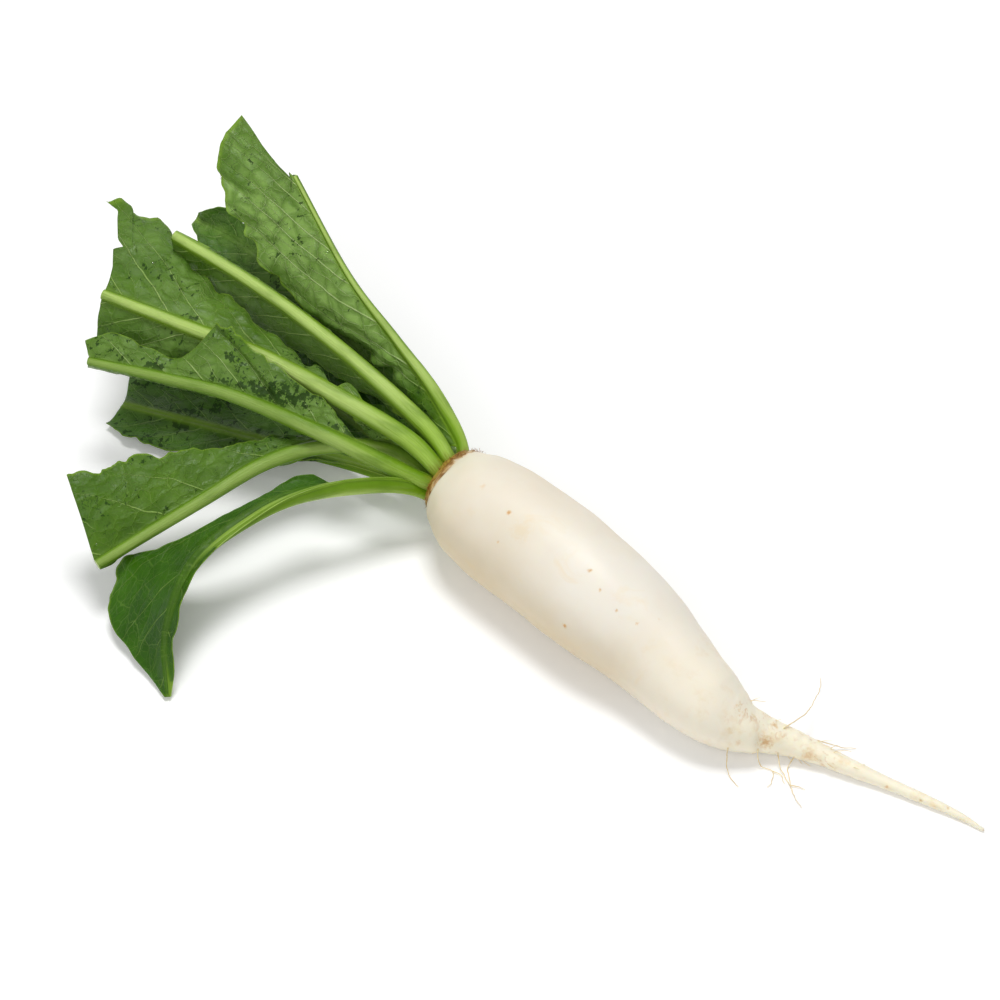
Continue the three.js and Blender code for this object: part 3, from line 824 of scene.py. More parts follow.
@dataclass(frozen=True)
class RootFinish:
    """The root's skin: ivory, creamier and paler towards the tail (partly painted light), creamier on the belly
    (painted shade), green and rust-brown at the crown.
    """

    name: str = "White Skin"
    ivory: tuple = linear(240, 234, 221)
    # Creamy tone: the skin's own colour near the crown, and painted shade on the belly.
    cream_and_shade_tone: tuple = linear(222, 206, 175)
    # Near-white: the tail's own paler skin, and painted light that lifts the taper where it turns towards the floor.
    tail: tuple = linear(255, 246, 222)
    straw: tuple = linear(236, 204, 138)
    green: tuple = linear(136, 138, 40)
    blush: tuple = linear(222, 218, 170)
    ochre: tuple = linear(196, 150, 70)
    rust: tuple = linear(118, 76, 14)
    scar: tuple = linear(200, 136, 46)
    # Marks on the skin: where they are in the crown's frame and their radius, mm, and their strength.
    marks: Table = (
        (52.3, -13.5, 60.6, 1.5, 0.8), (107.2, -11.9, 59.2, 1.2, 0.8), (117.7, -15.7, 56.5, 1.0, 0.7),
        (130.4, -16.8, 52.7, 1.2, 0.8), (148.4, -5.2, 51.3, 1.2, 0.8), (141.9, -14.6, 50.7, 1.3, 0.8),
        (110.3, -32.4, 36.9, 1.4, 0.8), (56.8, -25.8, 52, 0.8, 0.5), (29.9, -9.7, 60.7, 1.7, 0.3),
        (195.3, -3.5, 36.3, 0.8, 0.9), (64.3, -17, 59.2, 6, 0.2), (204.6, -5.3, 30.6, 3.6, 0.85),
        (209.4, 0.6, 25.8, 3.4, 0.8), (216.1, 7.1, 18.2, 2.2, 0.7), (209.9, -10.6, 23, 1.6, 0.6),
        (206.2, -15.2, 23, 2.4, 0.35), (218.6, -2.7, 14.2, 4.2, 0.75), (235.6, 9.7, 8.2, 3.6, 0.55),
        (210.5, -13.5, 15.9, 2, 0.4), (290, 30.6, 3.3, 1, 0.6), (273.3, 25, 4.1, 1, 0.6),
        (302.1, 36.2, 3.9, 0.9, 0.5), (86, 26, 50, 1.3, 0.7), (140, 22, 44, 1.2, 0.7), (60, 31, 30, 1.2, 0.6),
    )

    def material(self, effects: Effects) -> bpy.types.Material:
        """Builds the material.

        Args:
            effects: The shared shader groups.

        Returns:
            The material.
        """
        material, b, shader = new_material(self.name)
        place = b.add("ShaderNodeTexCoord").outputs["Object"]
        chart = b.chart("metric")
        cloud = b.noise(place, 16.0, 4.0, 0.55)
        fine = b.noise(place, 120.0, 4.0, 0.6)
        # Cream share: random clouds, the skin's own creamier crown end, and painted shade on the belly.
        cream_and_shade_share = b.math("MULTIPLY_ADD", b.math("SUBTRACT", cloud, 0.5), 1.1, b.mask("cream_and_belly_shade"), clamp=True)
        tone = b.mix(cream_and_shade_share, self.ivory, self.cream_and_shade_tone)
        # Towards the tail, already from 135 mm, the skin is turned near-white with straw flecks: partly its own tone,
        # partly painted light on the taper.
        tone = b.mix(b.mask("tail"), tone, b.mix(b.step(fine, 0.5, 0.75, 0.0, 0.45), self.tail, self.straw))
        tone = b.mix(b.mask("blush"), tone, self.blush)
        stain = place_group(b, effects.mottle, {"Vector": place, "Scale": 55.0, "Edge": 0.1, "Level": 0.66})
        share = b.math("MULTIPLY_ADD", b.mask("scars"), 0.6, 0.2)
        tone = b.mix(b.math("MULTIPLY", stain.outputs[0], share), tone, self.straw)

        rings = place_group(b, effects.mottle, {
            "Vector": b.stretch(chart, (3.2, 1.0, 1.0)), "Scale": 95.0, "Edge": 0.05, "Level": 0.59})
        scars = b.math("MULTIPLY", rings.outputs[0], b.mask("scars"))
        tone = b.mix(b.math("MULTIPLY", scars, 0.5), tone, self.scar)
        spots: Sockets = 0.0
        for *at, radius, strength in self.marks:
            centre = tuple(MM * (np.array(at) + PLANT_SHIFT))
            spot = place_group(b, effects.speck, {"Vector": place, "Centre": centre, "Radius": radius * MM})
            spots = b.math("MAXIMUM", spots, b.math("MULTIPLY", spot.outputs[0], strength))
        tone = b.mix(spots, tone, b.mix(spots, self.straw, self.scar))

        crown = place_group(b, effects.mottle, {
            "Vector": b.stretch(chart, (1.0, 0.4, 1.0)), "Scale": 420.0, "Edge": 0.12, "Level": 0.5})
        tone = b.mix(b.mask("collar"), tone, self.green)
        rusty = b.math("MULTIPLY", b.mask("rust"), b.math("MULTIPLY_ADD", crown.outputs[0], 0.6, 0.4))
        tone = b.mix(b.step(rusty, 0.0, 0.6, 0.0, 0.7), tone, self.ochre)
        tone = b.mix(b.step(rusty, 0.3, 0.95, 0.0, 0.85), tone, self.rust)

        wrinkle = b.noise(b.stretch(chart, (5.0, 1.0, 1.0)), 60.0, 4.0, 0.6)
        relief = b.math("MULTIPLY_ADD", wrinkle, b.math("MULTIPLY_ADD", b.mask("tail"), 1.1, 0.22),
                        b.math("MULTIPLY", fine, 0.2))
        relief = b.math("SUBTRACT", relief, b.math("MULTIPLY_ADD", scars, 0.5, spots))
        bump = b.add("ShaderNodeBump", {"Height": relief, "Strength": 0.5, "Distance": 0.0006})
        b.feed(shader.inputs["Base Color"], tone)
        b.feed(shader.inputs["Roughness"], b.math("MULTIPLY_ADD", fine, 0.2, 0.34))
        b.feed(shader.inputs["Normal"], bump.outputs[0])
        shader.inputs["Subsurface Weight"].default_value = 0.25
        shader.inputs["Subsurface Scale"].default_value = 0.004
        shader.inputs["Subsurface Radius"].default_value = (1.0, 0.7, 0.4)
        shader.inputs["Specular IOR Level"].default_value = 0.3
        return material


@dataclass(frozen=True)
class StrandFinish:
    """Thin dry strands, such as hair roots and crown fibres: one hue that varies along and between them."""

    name: str
    light: tuple
    dark: tuple

    def material(self, effects: Effects) -> bpy.types.Material:
        """Builds the material.

        Args:
            effects: The shared shader groups.

        Returns:
            The material.
        """
        material, b, shader = new_material(self.name)
        place = b.add("ShaderNodeTexCoord").outputs["Object"]
        patch = place_group(b, effects.mottle, {"Vector": place, "Scale": 260.0, "Edge": 0.2})
        b.feed(shader.inputs["Base Color"], b.mix(patch.outputs[0], self.light, self.dark))
        b.feed(shader.inputs["Roughness"], b.math("MULTIPLY_ADD", patch.outputs[0], 0.2, 0.5))
        return material


@dataclass(frozen=True)
class WaterFinish:
    """Clear water."""

    name: str = "Water"
    ior: float = 1.33

    def material(self) -> bpy.types.Material:
        """Builds the material."""
        material, _, shader = new_material(self.name)
        shader.inputs["Base Color"].default_value = (1.0, 1.0, 1.0, 1.0)
        shader.inputs["Roughness"].default_value = 0.02
        shader.inputs["IOR"].default_value = self.ior
        shader.inputs["Transmission Weight"].default_value = 1.0
        return material


# ---------------------------------------------------------------------------------------------------------
# The root
# ---------------------------------------------------------------------------------------------------------

@dataclass
class Taproot:
    """The root with its crown and tail. Sizes in millimetres, in the crown's frame."""

    # Distance from the crown, sideways bend, radius, and clearance under the belly.
    sections: Table = (
        (-6, 0, 12, 20.3), (-5, 0, 15.6, 16.7), (-3.2, 0, 18.4, 14), (-1, 0, 19.8, 12.6), (1.5, 0, 20.9, 11.5),
        (4.5, 0, 22.5, 9.7), (8, -0.5, 24.7, 7.4), (13, -1, 27.1, 4.7), (19, -1.6, 29, 2.5), (25, -2, 30.1, 1.1), (40, -2, 31.4, 0),
        (70, -2, 31.7, 0), (93, -3, 31.1, 0),
        (113, -3, 30, 0), (134, -3, 27.4, 0), (154, -5, 24.3, 0), (174, -7, 21.5, 0), (190, -6, 18.7, 0),
        (203, -2, 13.8, 0), (212, 4, 9.8, 0), (224, 11, 7.2, 0), (239, 17, 5.2, 0), (255, 22, 4.2, 0),
        (270, 27, 3.2, 0), (293, 34, 2.4, 0), (308, 38, 1.7, 0), (321, 40, 0.8, 0),
    )
    rings: int = 300
    sides: int = 96
    lumps: float = 0.012      # broad unevenness, as a part of the radius
    wrinkles: float = 0.05    # rings round the tail, as a part of the radius
    tail_start: float = 178   # distance from the crown at which the skin roughens
    tail_full: float = 215

    def profile(self) -> tuple[np.ndarray, np.ndarray, np.ndarray]:
        """Stations along the root, crowded where its radius changes fast.

        Returns:
            Centre points, tangents and radii.
        """
        dense = 4000
        t = np.linspace(0, 1, dense)
        path = smooth_curve(tuple(row[:2] for row in self.sections), dense)
        keys = np.linspace(0, 1, len(self.sections))
        table = tuple((k, *row[2:]) for k, row in zip(keys, self.sections))
        radius, clearance = look_up(table, t).T
        height = radius * math.cos(math.pi / 24) + np.maximum(clearance, 0)
        full = np.column_stack([path, height, radius])
        full = even_steps(full, self.rings)
        centre, radius = full[:, :3], full[:, 3]
        tangent = np.gradient(centre[:, :2], axis=0)
        tangent = unit(np.column_stack([tangent, np.zeros(len(tangent))]))
        return centre, tangent, radius

    def build(self, finish: bpy.types.Material) -> bpy.types.Object:
        """Makes the root's skin.

        Args:
            finish: Its material.

        Returns:
            The piece.
        """
        centre, tangent, radius = self.profile()
        along = arc_length(centre)
        x = centre[:, 0]
        turn = np.linspace(0, 2 * np.pi, self.sides, endpoint=False) - np.pi / 2
        circle = np.stack([np.cos(turn), np.sin(turn)])
        grid_x, grid_turn = x[:, None], turn[None, :]
        roundness = circle[0][None, :] * 2.2, circle[1][None, :] * 2.2
        tail = ease(self.tail_start, self.tail_full, grid_x)
        uneven = self.lumps * (wander(grid_x / 26 + roundness[0], roundness[1], 3)
                               + 0.4 * wander(grid_x / 9 + roundness[0], roundness[1] * 2, 5))
        rings = wander(grid_x / 2.6, roundness[0] * 0.5 + roundness[1] * 0.4, 8)
        creases = -0.016 * np.maximum(wander(grid_x / 3.1, roundness[0] * 0.7, 11) - 0.35, 0)
        swell = 1 + uneven * (1 - 0.5 * tail) + tail * self.wrinkles * rings
        swell = swell + creases * ease(150, 190, grid_x)
        collar = 1 - ease(0.5, 4, grid_x)
        scales = 0.05 * wander(grid_turn * 4.5, grid_x / 1.6, 21) * collar
        reach = radius[:, None] * (swell + scales)
        side = np.column_stack([-tangent[:, 1], tangent[:, 0], np.zeros(len(tangent))])
        points = (centre[:, None, :] + side[:, None, :] * (circle[0][None, :] * reach)[..., None]
                  + np.array([0, 0, 1.0]) * (circle[1][None, :] * reach)[..., None])
        points[..., 2] = np.maximum(points[..., 2], 0.0)

        # Painted shade: the belly, the underside, is made creamier, less so towards the tail; towards the crown the
        # skin is creamier in its own colour.
        belly = ease(0.97, -0.3, np.broadcast_to(circle[1][None, :], reach.shape))
        cream_and_belly_shade = 0.08 + (0.8 - 0.6 * ease(110, 185, grid_x)) * belly + 0.24 * ease(150, 30, grid_x)
        blush = 0.34 * ease(34, 2, grid_x) * (0.7 + 0.3 * wander(grid_turn * 2, 0.0, 31))
        scars = ease(192, 206, grid_x) * (1 - ease(232, 262, grid_x)) * (
            0.35 + 0.65 * wander(grid_x / 9, roundness[0], 14))
        edge = 1.6 * wander(grid_turn * 2.5, 0.0, 17) + 1.2 * wander(grid_turn * 8, grid_x / 3, 19)
        # The tail mask rises early, from 135 mm, so that the taper, which turns down towards the floor, is painted
        # lighter: painted light.
        masks = {
            "cream_and_belly_shade": cream_and_belly_shade, "tail": np.maximum(tail * 0.9, 0.45 * ease(135, 195, grid_x)) + 0 * reach, "blush": blush,
            "scars": np.clip(scars, 0, 1), "collar": ease(1.8, -1.0, grid_x - 0.4 * edge + 0 * reach),
            "rust": ease(6.0, 0.5, grid_x - edge) * ease(-5.2, -3.4, grid_x + 0 * reach),
        }
        masks = {k: np.broadcast_to(v, reach.shape).ravel() for k, v in masks.items()}
        chart = np.stack(np.broadcast_arrays(along[:, None], np.abs(grid_turn) * 20.0), -1) * MM
        skin = Skin()
        first = skin.add_points(self._placed(points), masks, {"metric": chart.reshape(-1, 2)})
        skin.add_rings(first, self.rings, self.sides)
        for ring, push, flip in ((0, -1.6, True), (self.rings - 1, 0.9, False)):
            self._close(skin, first + ring * self.sides, centre[ring] + tangent[ring] * push, flip, masks,
                        ring, chart)
        piece = skin.build("radish_root", [finish])
        settle(piece, "white_skin", "taproot")
        return piece

    def _close(self, skin: Skin, start: int, pole: np.ndarray, flip: bool, masks: dict, ring: int,
               chart: np.ndarray) -> None:
        """Closes one end with a fan to a pole.

        Args:
            skin: The surface.
            start: Number of the end ring's first point.
            pole: The pole's place.
            flip: True at the end where the fan turns the other way.
            masks: The masks over all rings, for the pole's values.
            ring: Number of the end ring.
            chart: The chart over all rings.
        """
        values = {k: v[ring * self.sides:ring * self.sides + 1] for k, v in masks.items()}
        middle = skin.add_points(self._placed(pole[None, :]), values, {"metric": chart[ring, :1]})
        fan = []
        for k in range(self.sides):
            a, b = start + k, start + (k + 1) % self.sides
            fan.append((b, a, middle) if flip else (a, b, middle))
        skin.add_faces(fan)

    @staticmethod
    def _placed(points: np.ndarray) -> np.ndarray:
        """Points of the crown's frame in the row's frame, metres."""
        return (points.reshape(-1, 3) + PLANT_SHIFT) * MM


@dataclass
class Rootlets:
    """Hair roots where the root narrows to its tail. Sizes in millimetres, in the crown's frame."""

    # Ways of the long ones.
    long: tuple[Table, ...] = (
        ((216, -5.2, 10), (217.5, -6.5, 6), (220, -7, 1.6), (221.5, -6, 0.5), (226.2, -4.7, 0.5), (229.9, -9.7, 0.5),
         (230.6, -14.1, 0.5)),
        ((226.2, -4.7, 0.5), (230.5, -3.6, 0.5), (235, -6.4, 0.5)),
        ((223.2, 1.6, 7), (226, 0, 3), (230.5, -2.2, 0.5), (237.8, -5.3, 0.5), (244, -9, 0.5), (250.3, -11.6, 0.5)),
        ((237.8, -5.3, 0.5), (241, -3, 0.5), (245, -2.4, 0.5)),
        ((229.7, 6.8, 5), (229.8, 2.4, 0.6), (234.2, -1.9, 0.5), (240.8, -7.4, 0.5)),
        ((219.5, 9, 16), (220.5, 20.3, 15), (219.5, 27.8, 13), (217, 35, 10.5), (211, 47.9, 6), (204.6, 56.6, 0.8)),
        ((226.1, 13.6, 11), (231.9, 19.1, 9), (237, 25, 5), (239.5, 29, 1.2), (246, 35, 0.6)),
        ((206, -16, 12), (208, -19, 6), (213, -22, 0.6), (221, -24, 0.5)),
    )
    thickness: float = 0.34
    tip: float = 0.14
    short_count: int = 30
    short_from: float = 203
    short_to: float = 262
    short_length: float = 6.0
    seed: int = 9

    def build(self, root: "Taproot", growth: Growth, finish: bpy.types.Material) -> bpy.types.Object:
        """Makes them as one piece.

        Args:
            root: The root that they grow from.
            growth: The trees.
            finish: Their material.

        Returns:
            The piece.
        """
        lines = [smooth_curve(way, 4 * len(way)) for way in self.long] + self._short(root)
        lines = [(line + PLANT_SHIFT) * MM for line in lines]
        values = [np.linspace(self.thickness, self.tip, len(line)) * MM for line in lines[:len(self.long)]]
        values += [np.linspace(self.tip * 1.6, self.tip * 0.7, len(line)) * MM for line in lines[len(self.long):]]
        source = line_mesh("rootlet_lines", lines, False, "thickness", values)
        piece = grow("radish_rootlets", source, growth.threads,
                     {"Finish": finish, "Sides": 6, "Wobble": 0.0016, "Steps": 0.0011, "Seed": self.seed})
        settle(piece, "white_skin")
        return piece

    def _short(self, root: "Taproot") -> list[np.ndarray]:
        """Short hairs round the narrowing part, lying towards the tail."""
        centre, tangent, radius = root.profile()
        lines = []
        for k in range(self.short_count):
            pick = [lattice(np.float64(k), np.float64(n), self.seed) for n in range(6)]
            x = self.short_from + (self.short_to - self.short_from) * (0.5 + 0.5 * pick[0]) ** 1.6
            ring = int(np.argmin(np.abs(centre[:, 0] - x)))
            turn = math.pi * (0.1 + 0.9 * pick[1])
            side = np.array([-tangent[ring][1], tangent[ring][0], 0.0])
            out = side * math.cos(turn) + np.array([0, 0, 1.0]) * math.sin(turn)
            length = self.short_length * (0.65 + 0.5 * pick[2])
            start = centre[ring] + out * radius[ring] * 0.9
            way = unit(out * (0.7 + 0.4 * pick[3]) + tangent[ring] * (0.7 + 0.5 * pick[4]))
            t = np.linspace(0, 1, 6)[:, None]
            line = start + way * length * t + tangent[ring] * length * 0.4 * t**2 - np.array([0, 0, 0.25]) * length * t**2
            line[:, 2] = np.maximum(line[:, 2], 0.4)
            lines.append(line)
        return lines


@dataclass
class CrownFringe:
    """Fibres left by old leaf stalks, in a ring between the shoulder and the stalks. Sizes in millimetres."""

    # Rows of fibres: distance from the crown, radius, lean along the root, size.
    rows: Table = ((-1.0, 19.0, -0.35, 1.0), (2.6, 20.9, -0.9, 0.85))
    height: float = 32.2
    points: int = 64
    count: int = 420
    length: float = 3.0
    thickness: float = 0.2
    seed: int = 4

    def build(self, growth: Growth, finish: bpy.types.Material) -> bpy.types.Object:
        """Makes the ring of fibres.

        Args:
            growth: The trees.
            finish: Their material.

        Returns:
            The piece.
        """
        turn = np.linspace(0, 2 * np.pi, self.points, endpoint=False)
        out = np.stack([0 * turn, np.cos(turn), np.sin(turn)], -1)
        rings, leans = [], []
        for x, radius, tilt, size in self.rows:
            ring = np.array([x, 0, self.height]) + out * (radius + 0.5 * wander(turn * 3, x, self.seed))[:, None]
            rings.append((ring + PLANT_SHIFT) * MM)
            tall = size * (0.7 + 0.6 * wander(turn * 2.2, x + 3.0, self.seed))
            leans.append(unit(out + np.array([tilt, 0, 0])) * tall[:, None])
        source = line_mesh("crown_ring", rings, True, "outward", leans)
        piece = grow("crown_fringe", source, growth.fringe, {
            "Finish": finish, "Count": self.count, "Length": self.length * MM, "Thickness": self.thickness * MM,
            "Band": (0.0018, 0.001, 0.001), "Unruly": 0.5, "Seed": self.seed})
        settle(piece, "crown_fibre")
        return piece


@dataclass
class Dew:
    """Drops left on the leaves by washing."""

    density: float = 2600.0       # drops for each square metre where the mask is 1
    size: float = 1.1
    seed: int = 6

    def build(self, leaves: list[bpy.types.Object], growth: Growth, finish: bpy.types.Material) -> None:
        """Makes the drops on each leaf.

        Args:
            leaves: The leaves that carry drops.
            growth: The trees.
            finish: Water.
        """
        for leaf in leaves:
            bed = bpy.data.objects.new("drop_bed", leaf.data)
            bpy.context.scene.collection.objects.link(bed)
            piece = grow("drops_on_" + leaf.name.removesuffix("_tissue"), bed, growth.drops, {
                "Finish": finish, "Density": self.density, "Size": self.size * MM, "Seed": self.seed})
            settle(piece, "water")


# ---------------------------------------------------------------------------------------------------------
# The leaves
# ---------------------------------------------------------------------------------------------------------

class Half(Enum):
    """The two half blades of a leaf, by the side of the midrib they grow on."""

    RIGHT = 1
    LEFT = -1


@dataclass
class Leaf:
    """One leaf: stalk, midrib and two half blades as one closed skin. Sizes in mm, in the crown's frame."""

    node: str
    rib: Table                    # way of the stalk and midrib, from the crown to the cut
    face: Table                   # the way the upper face looks, at even steps along the rib
    girth: Table                  # part of the length, half width of the stalk
    right: Table                  # part of the length, reach, fold in degrees, sweep
    left: Table
    seed: int = 1
    blade_steps: int = 26         # points across a half blade
    step: float = 1.15            # distance between rings
    thickness: float = 0.45       # blade
    camber: float = 0.05          # bulge of a half blade towards its lower face, as a part of its reach
    ripple: float = 1.9           # waves of the blade, growing towards the margin
    frill: float = 0.0            # short waves of the margin itself
    wave: float = 26.0            # length of those waves
    quilt: float = 0.8            # pillows between the side veins
    pucker: float = 0.22          # small dents all over the blade
    teeth: float = 0.06           # unevenness of the margin, as a part of the reach
    vein_gap: float = 18.0        # distance between side veins
    vein_lean: float = 1.25       # how far forward a side vein runs for each millimetre outwards
    vein_half: float = 0.55       # half width of a side vein where it leaves the midrib
    rib_shows: float = 0.85       # how pale the midrib is on the upper face
    painted_sheen: float = 0.0            # painted sheen: a pale grey-green cast standing in for glossy light, mostly on the lower face
    painted_sheen_from: float = -1.0      # part of the length where that painted sheen starts
    dew: float = 0.0              # how thick the drops are at its end
    flecks: float = 0.5           # how many dark flecks the blade has
    painted_shade: float = 0.1            # painted shade: how far the stalk is turned a deeper green, for stalks that lie in shadow
    stalk_depth: float = 0.86
    cut: Table = ()               # share of the left or right reach, forward shift of the cut end there
    cut_half: int = 0             # the half that the cut's table is for: 1 right, -1 left
    folds: Table = ()             # where along the rib a fold starts, how far the blade drops, how soon it is back
    young: bool = False

    STALK_ARC = np.radians(np.linspace(-90, 16, 10))[1:]
    SHOULDER = ((0.66, 0.74), (0.42, 0.80), (0.2, 0.70))
    CHANNEL = 0.62

    def slant(self) -> float:
        """Sine of the angle between a side vein and the midrib."""
        return 1 / math.hypot(1, self.vein_lean)

    def stations(self) -> int:
        """Number of rings along the leaf."""
        return int(round(self.length() / self.step)) + 1

    def length(self) -> float:
        """Length of the rib."""
        return arc_length(smooth_curve(self.rib, 600))[-1]

    def frames(self, s: np.ndarray) -> tuple[np.ndarray, np.ndarray, np.ndarray, np.ndarray]:
        """Middle of each ring and its directions.

        Args:
            s: Parts of the length.

        Returns:
            Middle, along, up and across.
        """
        middle = even_steps(smooth_curve(self.rib, 1200), len(s))
        along = unit(np.gradient(middle, axis=0))
        face = np.asarray(self.face, float)
        keys = np.linspace(0, 1, len(face))
        up = np.stack([np.interp(s, keys, face[:, k]) for k in range(3)], -1)
        up = unit(up - along * np.sum(up * along, axis=1, keepdims=True))
        return middle, along, up, np.cross(along, up)

    def vein_count(self, q: np.ndarray, half: Half) -> np.ndarray:
        """Numbers the side veins: whole on a vein, growing along the leaf.

        Args:
            q: Where along the rib the vein through each point leaves it, mm.
            half: The half blade.

        Returns:
            The running count.
        """
        number = np.arange(-6, 40)
        shift = 0.5 if half is Half.LEFT else 0.0
        place = (number + shift + 0.24 * lattice(number.astype(float), np.float64(shift), self.seed)) * self.vein_gap
        return np.interp(q, place, number)

    def half_section(self, s: np.ndarray, half: Half) -> dict[str, np.ndarray]:
        """One side of every ring, from under the stalk round the margin to the top channel.

        Args:
            s: Parts of the length.
            half: Which side.

        Returns:
            Arrays of one row for each ring: x (outwards), y (up), z (forward), and the masks and charts.
        """
        rows = self.right if half is Half.RIGHT else self.left
        girth = look_up(self.girth, s)[:, 0]
        deep = girth * self.stalk_depth
        reach, fold, sweep = look_up(rows, s).T
        length = self.length()
        run = s * length
        seed = self.seed * 10 + (1 if half is Half.LEFT else 0)
        ragged = wander(run / 7.5, 0.0, seed) + 0.6 * wander(run / 3.1, 2.0, seed + 1)
        leafy = ease(0, 5, reach - girth)
        reach = np.maximum(reach * (1 + self.teeth * ragged * leafy), girth * 0.86 + 0.25)
        angle = np.radians(fold * leafy + 8 * (1 - leafy))
        root_x, root_y = 0.85 * girth, 0.5 * deep
        tip_x, tip_y = reach * np.cos(angle), root_y + reach * np.sin(angle)
        tip_x = np.where(leafy > 0, tip_x, reach)
        chord = unit(np.stack([tip_x - root_x, tip_y - root_y], -1))
        normal = np.stack([-chord[:, 1], chord[:, 0]], -1)

        u = ((np.arange(self.blade_steps) + 0.6) / (self.blade_steps - 0.4))[None, :]
        wide = reach[:, None]
        d = u * wide
        trim = 0 * d
        if self.cut and self.cut_half == half.value:
            ends = np.asarray(self.cut)
            trim = np.interp(u, ends[:, 0], ends[:, 1]) * ease(0.8, 1, s)[:, None]
        q = run[:, None] + trim + sweep[:, None] * u - self.vein_lean * d - 0.004 * d * d
        count = self.vein_count(q, half)
        between = np.abs(count - np.round(count)) * 2
        spread = leafy[:, None] * u
        bulge = -self.camber * wide * 4 * u * (1 - u) * leafy[:, None]
        waves = wander(run[:, None] / self.wave, u * 0.8, seed + 2) * self.ripple * spread * u
        curl = wander(run[:, None] / (self.wave * 0.38), u * 1.2, seed + 3) * self.ripple * 0.5 * u**3 * leafy[:, None]
        curl = curl + wander(run[:, None] / 6.0, 7.0, seed + 8) * self.frill * ease(0.55, 1, u) * leafy[:, None]
        inner = ease(1.5, 8, d) * leafy[:, None]
        pillow = -self.quilt * (np.sqrt(np.clip(between, 0, 1)) - 0.6) * inner
        aslant, athwart = 0.8 * run[:, None] + 0.6 * d, 0.8 * d - 0.6 * run[:, None]
        dents = wander(aslant / 6.5, athwart / 5.0, seed + 4) + 0.5 * wander(athwart / 3.2, aslant / 3, seed + 6)
        lift = bulge + waves + curl + pillow + self.pucker * dents * inner
        for start, drop, back in self.folds:
            lift = lift + drop * ease(-0.8, 0.8, q - start) * np.exp(-np.maximum(q - start, 0) / back) * inner
        away = between / 2 * self.vein_gap * self.slant()
        ridge = 0.55 * np.exp(-(away / 0.8) ** 2) * (1 - 0.6 * u) * leafy[:, None]
        ridge = ridge * ease(0.3, 3, d)
        thick = (self.thickness + 1.1 * np.exp(-d / 2.2)) / 2
        base = (root_x[:, None] + (tip_x - root_x)[:, None] * u, root_y[:, None] + (tip_y - root_y)[:, None] * u)
        forward = trim + sweep[:, None] * u + 0.5 * wander(run[:, None] / 4.0, 5.0, seed + 5) * spread * u

        def sheet(offset: np.ndarray) -> tuple[np.ndarray, np.ndarray]:
            """The blade's middle surface moved along its normal."""
            return base[0] + normal[:, :1] * offset, base[1] + normal[:, 1:] * offset

        under = sheet(lift - thick - ridge)
        top = sheet(lift + thick - ridge * 0.5)
        over = 0.16
        edge_u = 1 + over / np.maximum(wide, 1)
        edge = (root_x[:, None] + (tip_x - root_x)[:, None] * edge_u + normal[:, :1] * lift[:, -1:],
                root_y[:, None] + (tip_y - root_y)[:, None] * edge_u + normal[:, 1:] * lift[:, -1:])

        arc = self.STALK_ARC[None, :]
        belly = (girth[:, None] * np.cos(arc), deep[:, None] * np.sin(arc))
        shoulder = np.array(self.SHOULDER)
        crest = (girth[:, None] * shoulder[None, :, 0], deep[:, None] * shoulder[None, :, 1])
        none_arc, none_crest = np.zeros((len(s), arc.shape[1])), np.zeros((len(s), len(shoulder)))
        crest_pale = 1 - (1 - self.rib_shows) * leafy[:, None]
        fade = np.exp(-np.maximum(d - 0.4, 0) / 1.1) * (1 - 0.55 * leafy[:, None] * ease(0.35, 1.2, d))
        fade = np.where(leafy[:, None] < 0.3, 1.0, fade)
        last = (slice(None), slice(-1, None))
        # Painted side light: low on the ridge under the stalk, where a highlight is painted, rising up the flanks,
        # where shade is painted.
        painted_side_light = 0.75 * ease(math.radians(-80), math.radians(14), np.broadcast_to(arc, none_arc.shape))
        mirror = (slice(None), slice(None, None, -1))
        return {
            "x": np.hstack([belly[0], under[0], edge[0], top[0][mirror], crest[0]]),
            "y": np.hstack([belly[1], under[1], edge[1], top[1][mirror], crest[1]]),
            "z": np.hstack([none_arc, forward, forward[last], forward[mirror], none_crest]),
            "stalk": np.hstack([none_arc + 1, fade, fade[last], fade[mirror] * crest_pale, none_crest + crest_pale]),
            "upper": np.hstack([none_arc, 0 * fade, 0.5 + 0 * fade[last], 1 + 0 * fade, none_crest + 1]),
            "painted_side_light": np.hstack([painted_side_light, 0 * fade + 0.5, 0 * fade[last], 0 * fade + 0.5, none_crest + 0.3]),
            "along": np.hstack([none_arc, forward, forward[last], forward[mirror], none_crest]) + run[:, None],
            "out": np.hstack([belly[0] * 1.5, d, d[last], d[mirror], crest[0]]),
            "count": np.hstack([none_arc, count, count[last], count[mirror], none_crest]),
            "reach": np.hstack([none_arc - 1, u + 0 * d, 1 + 0 * d[last], (u + 0 * d)[mirror], none_crest - 1]),
        }

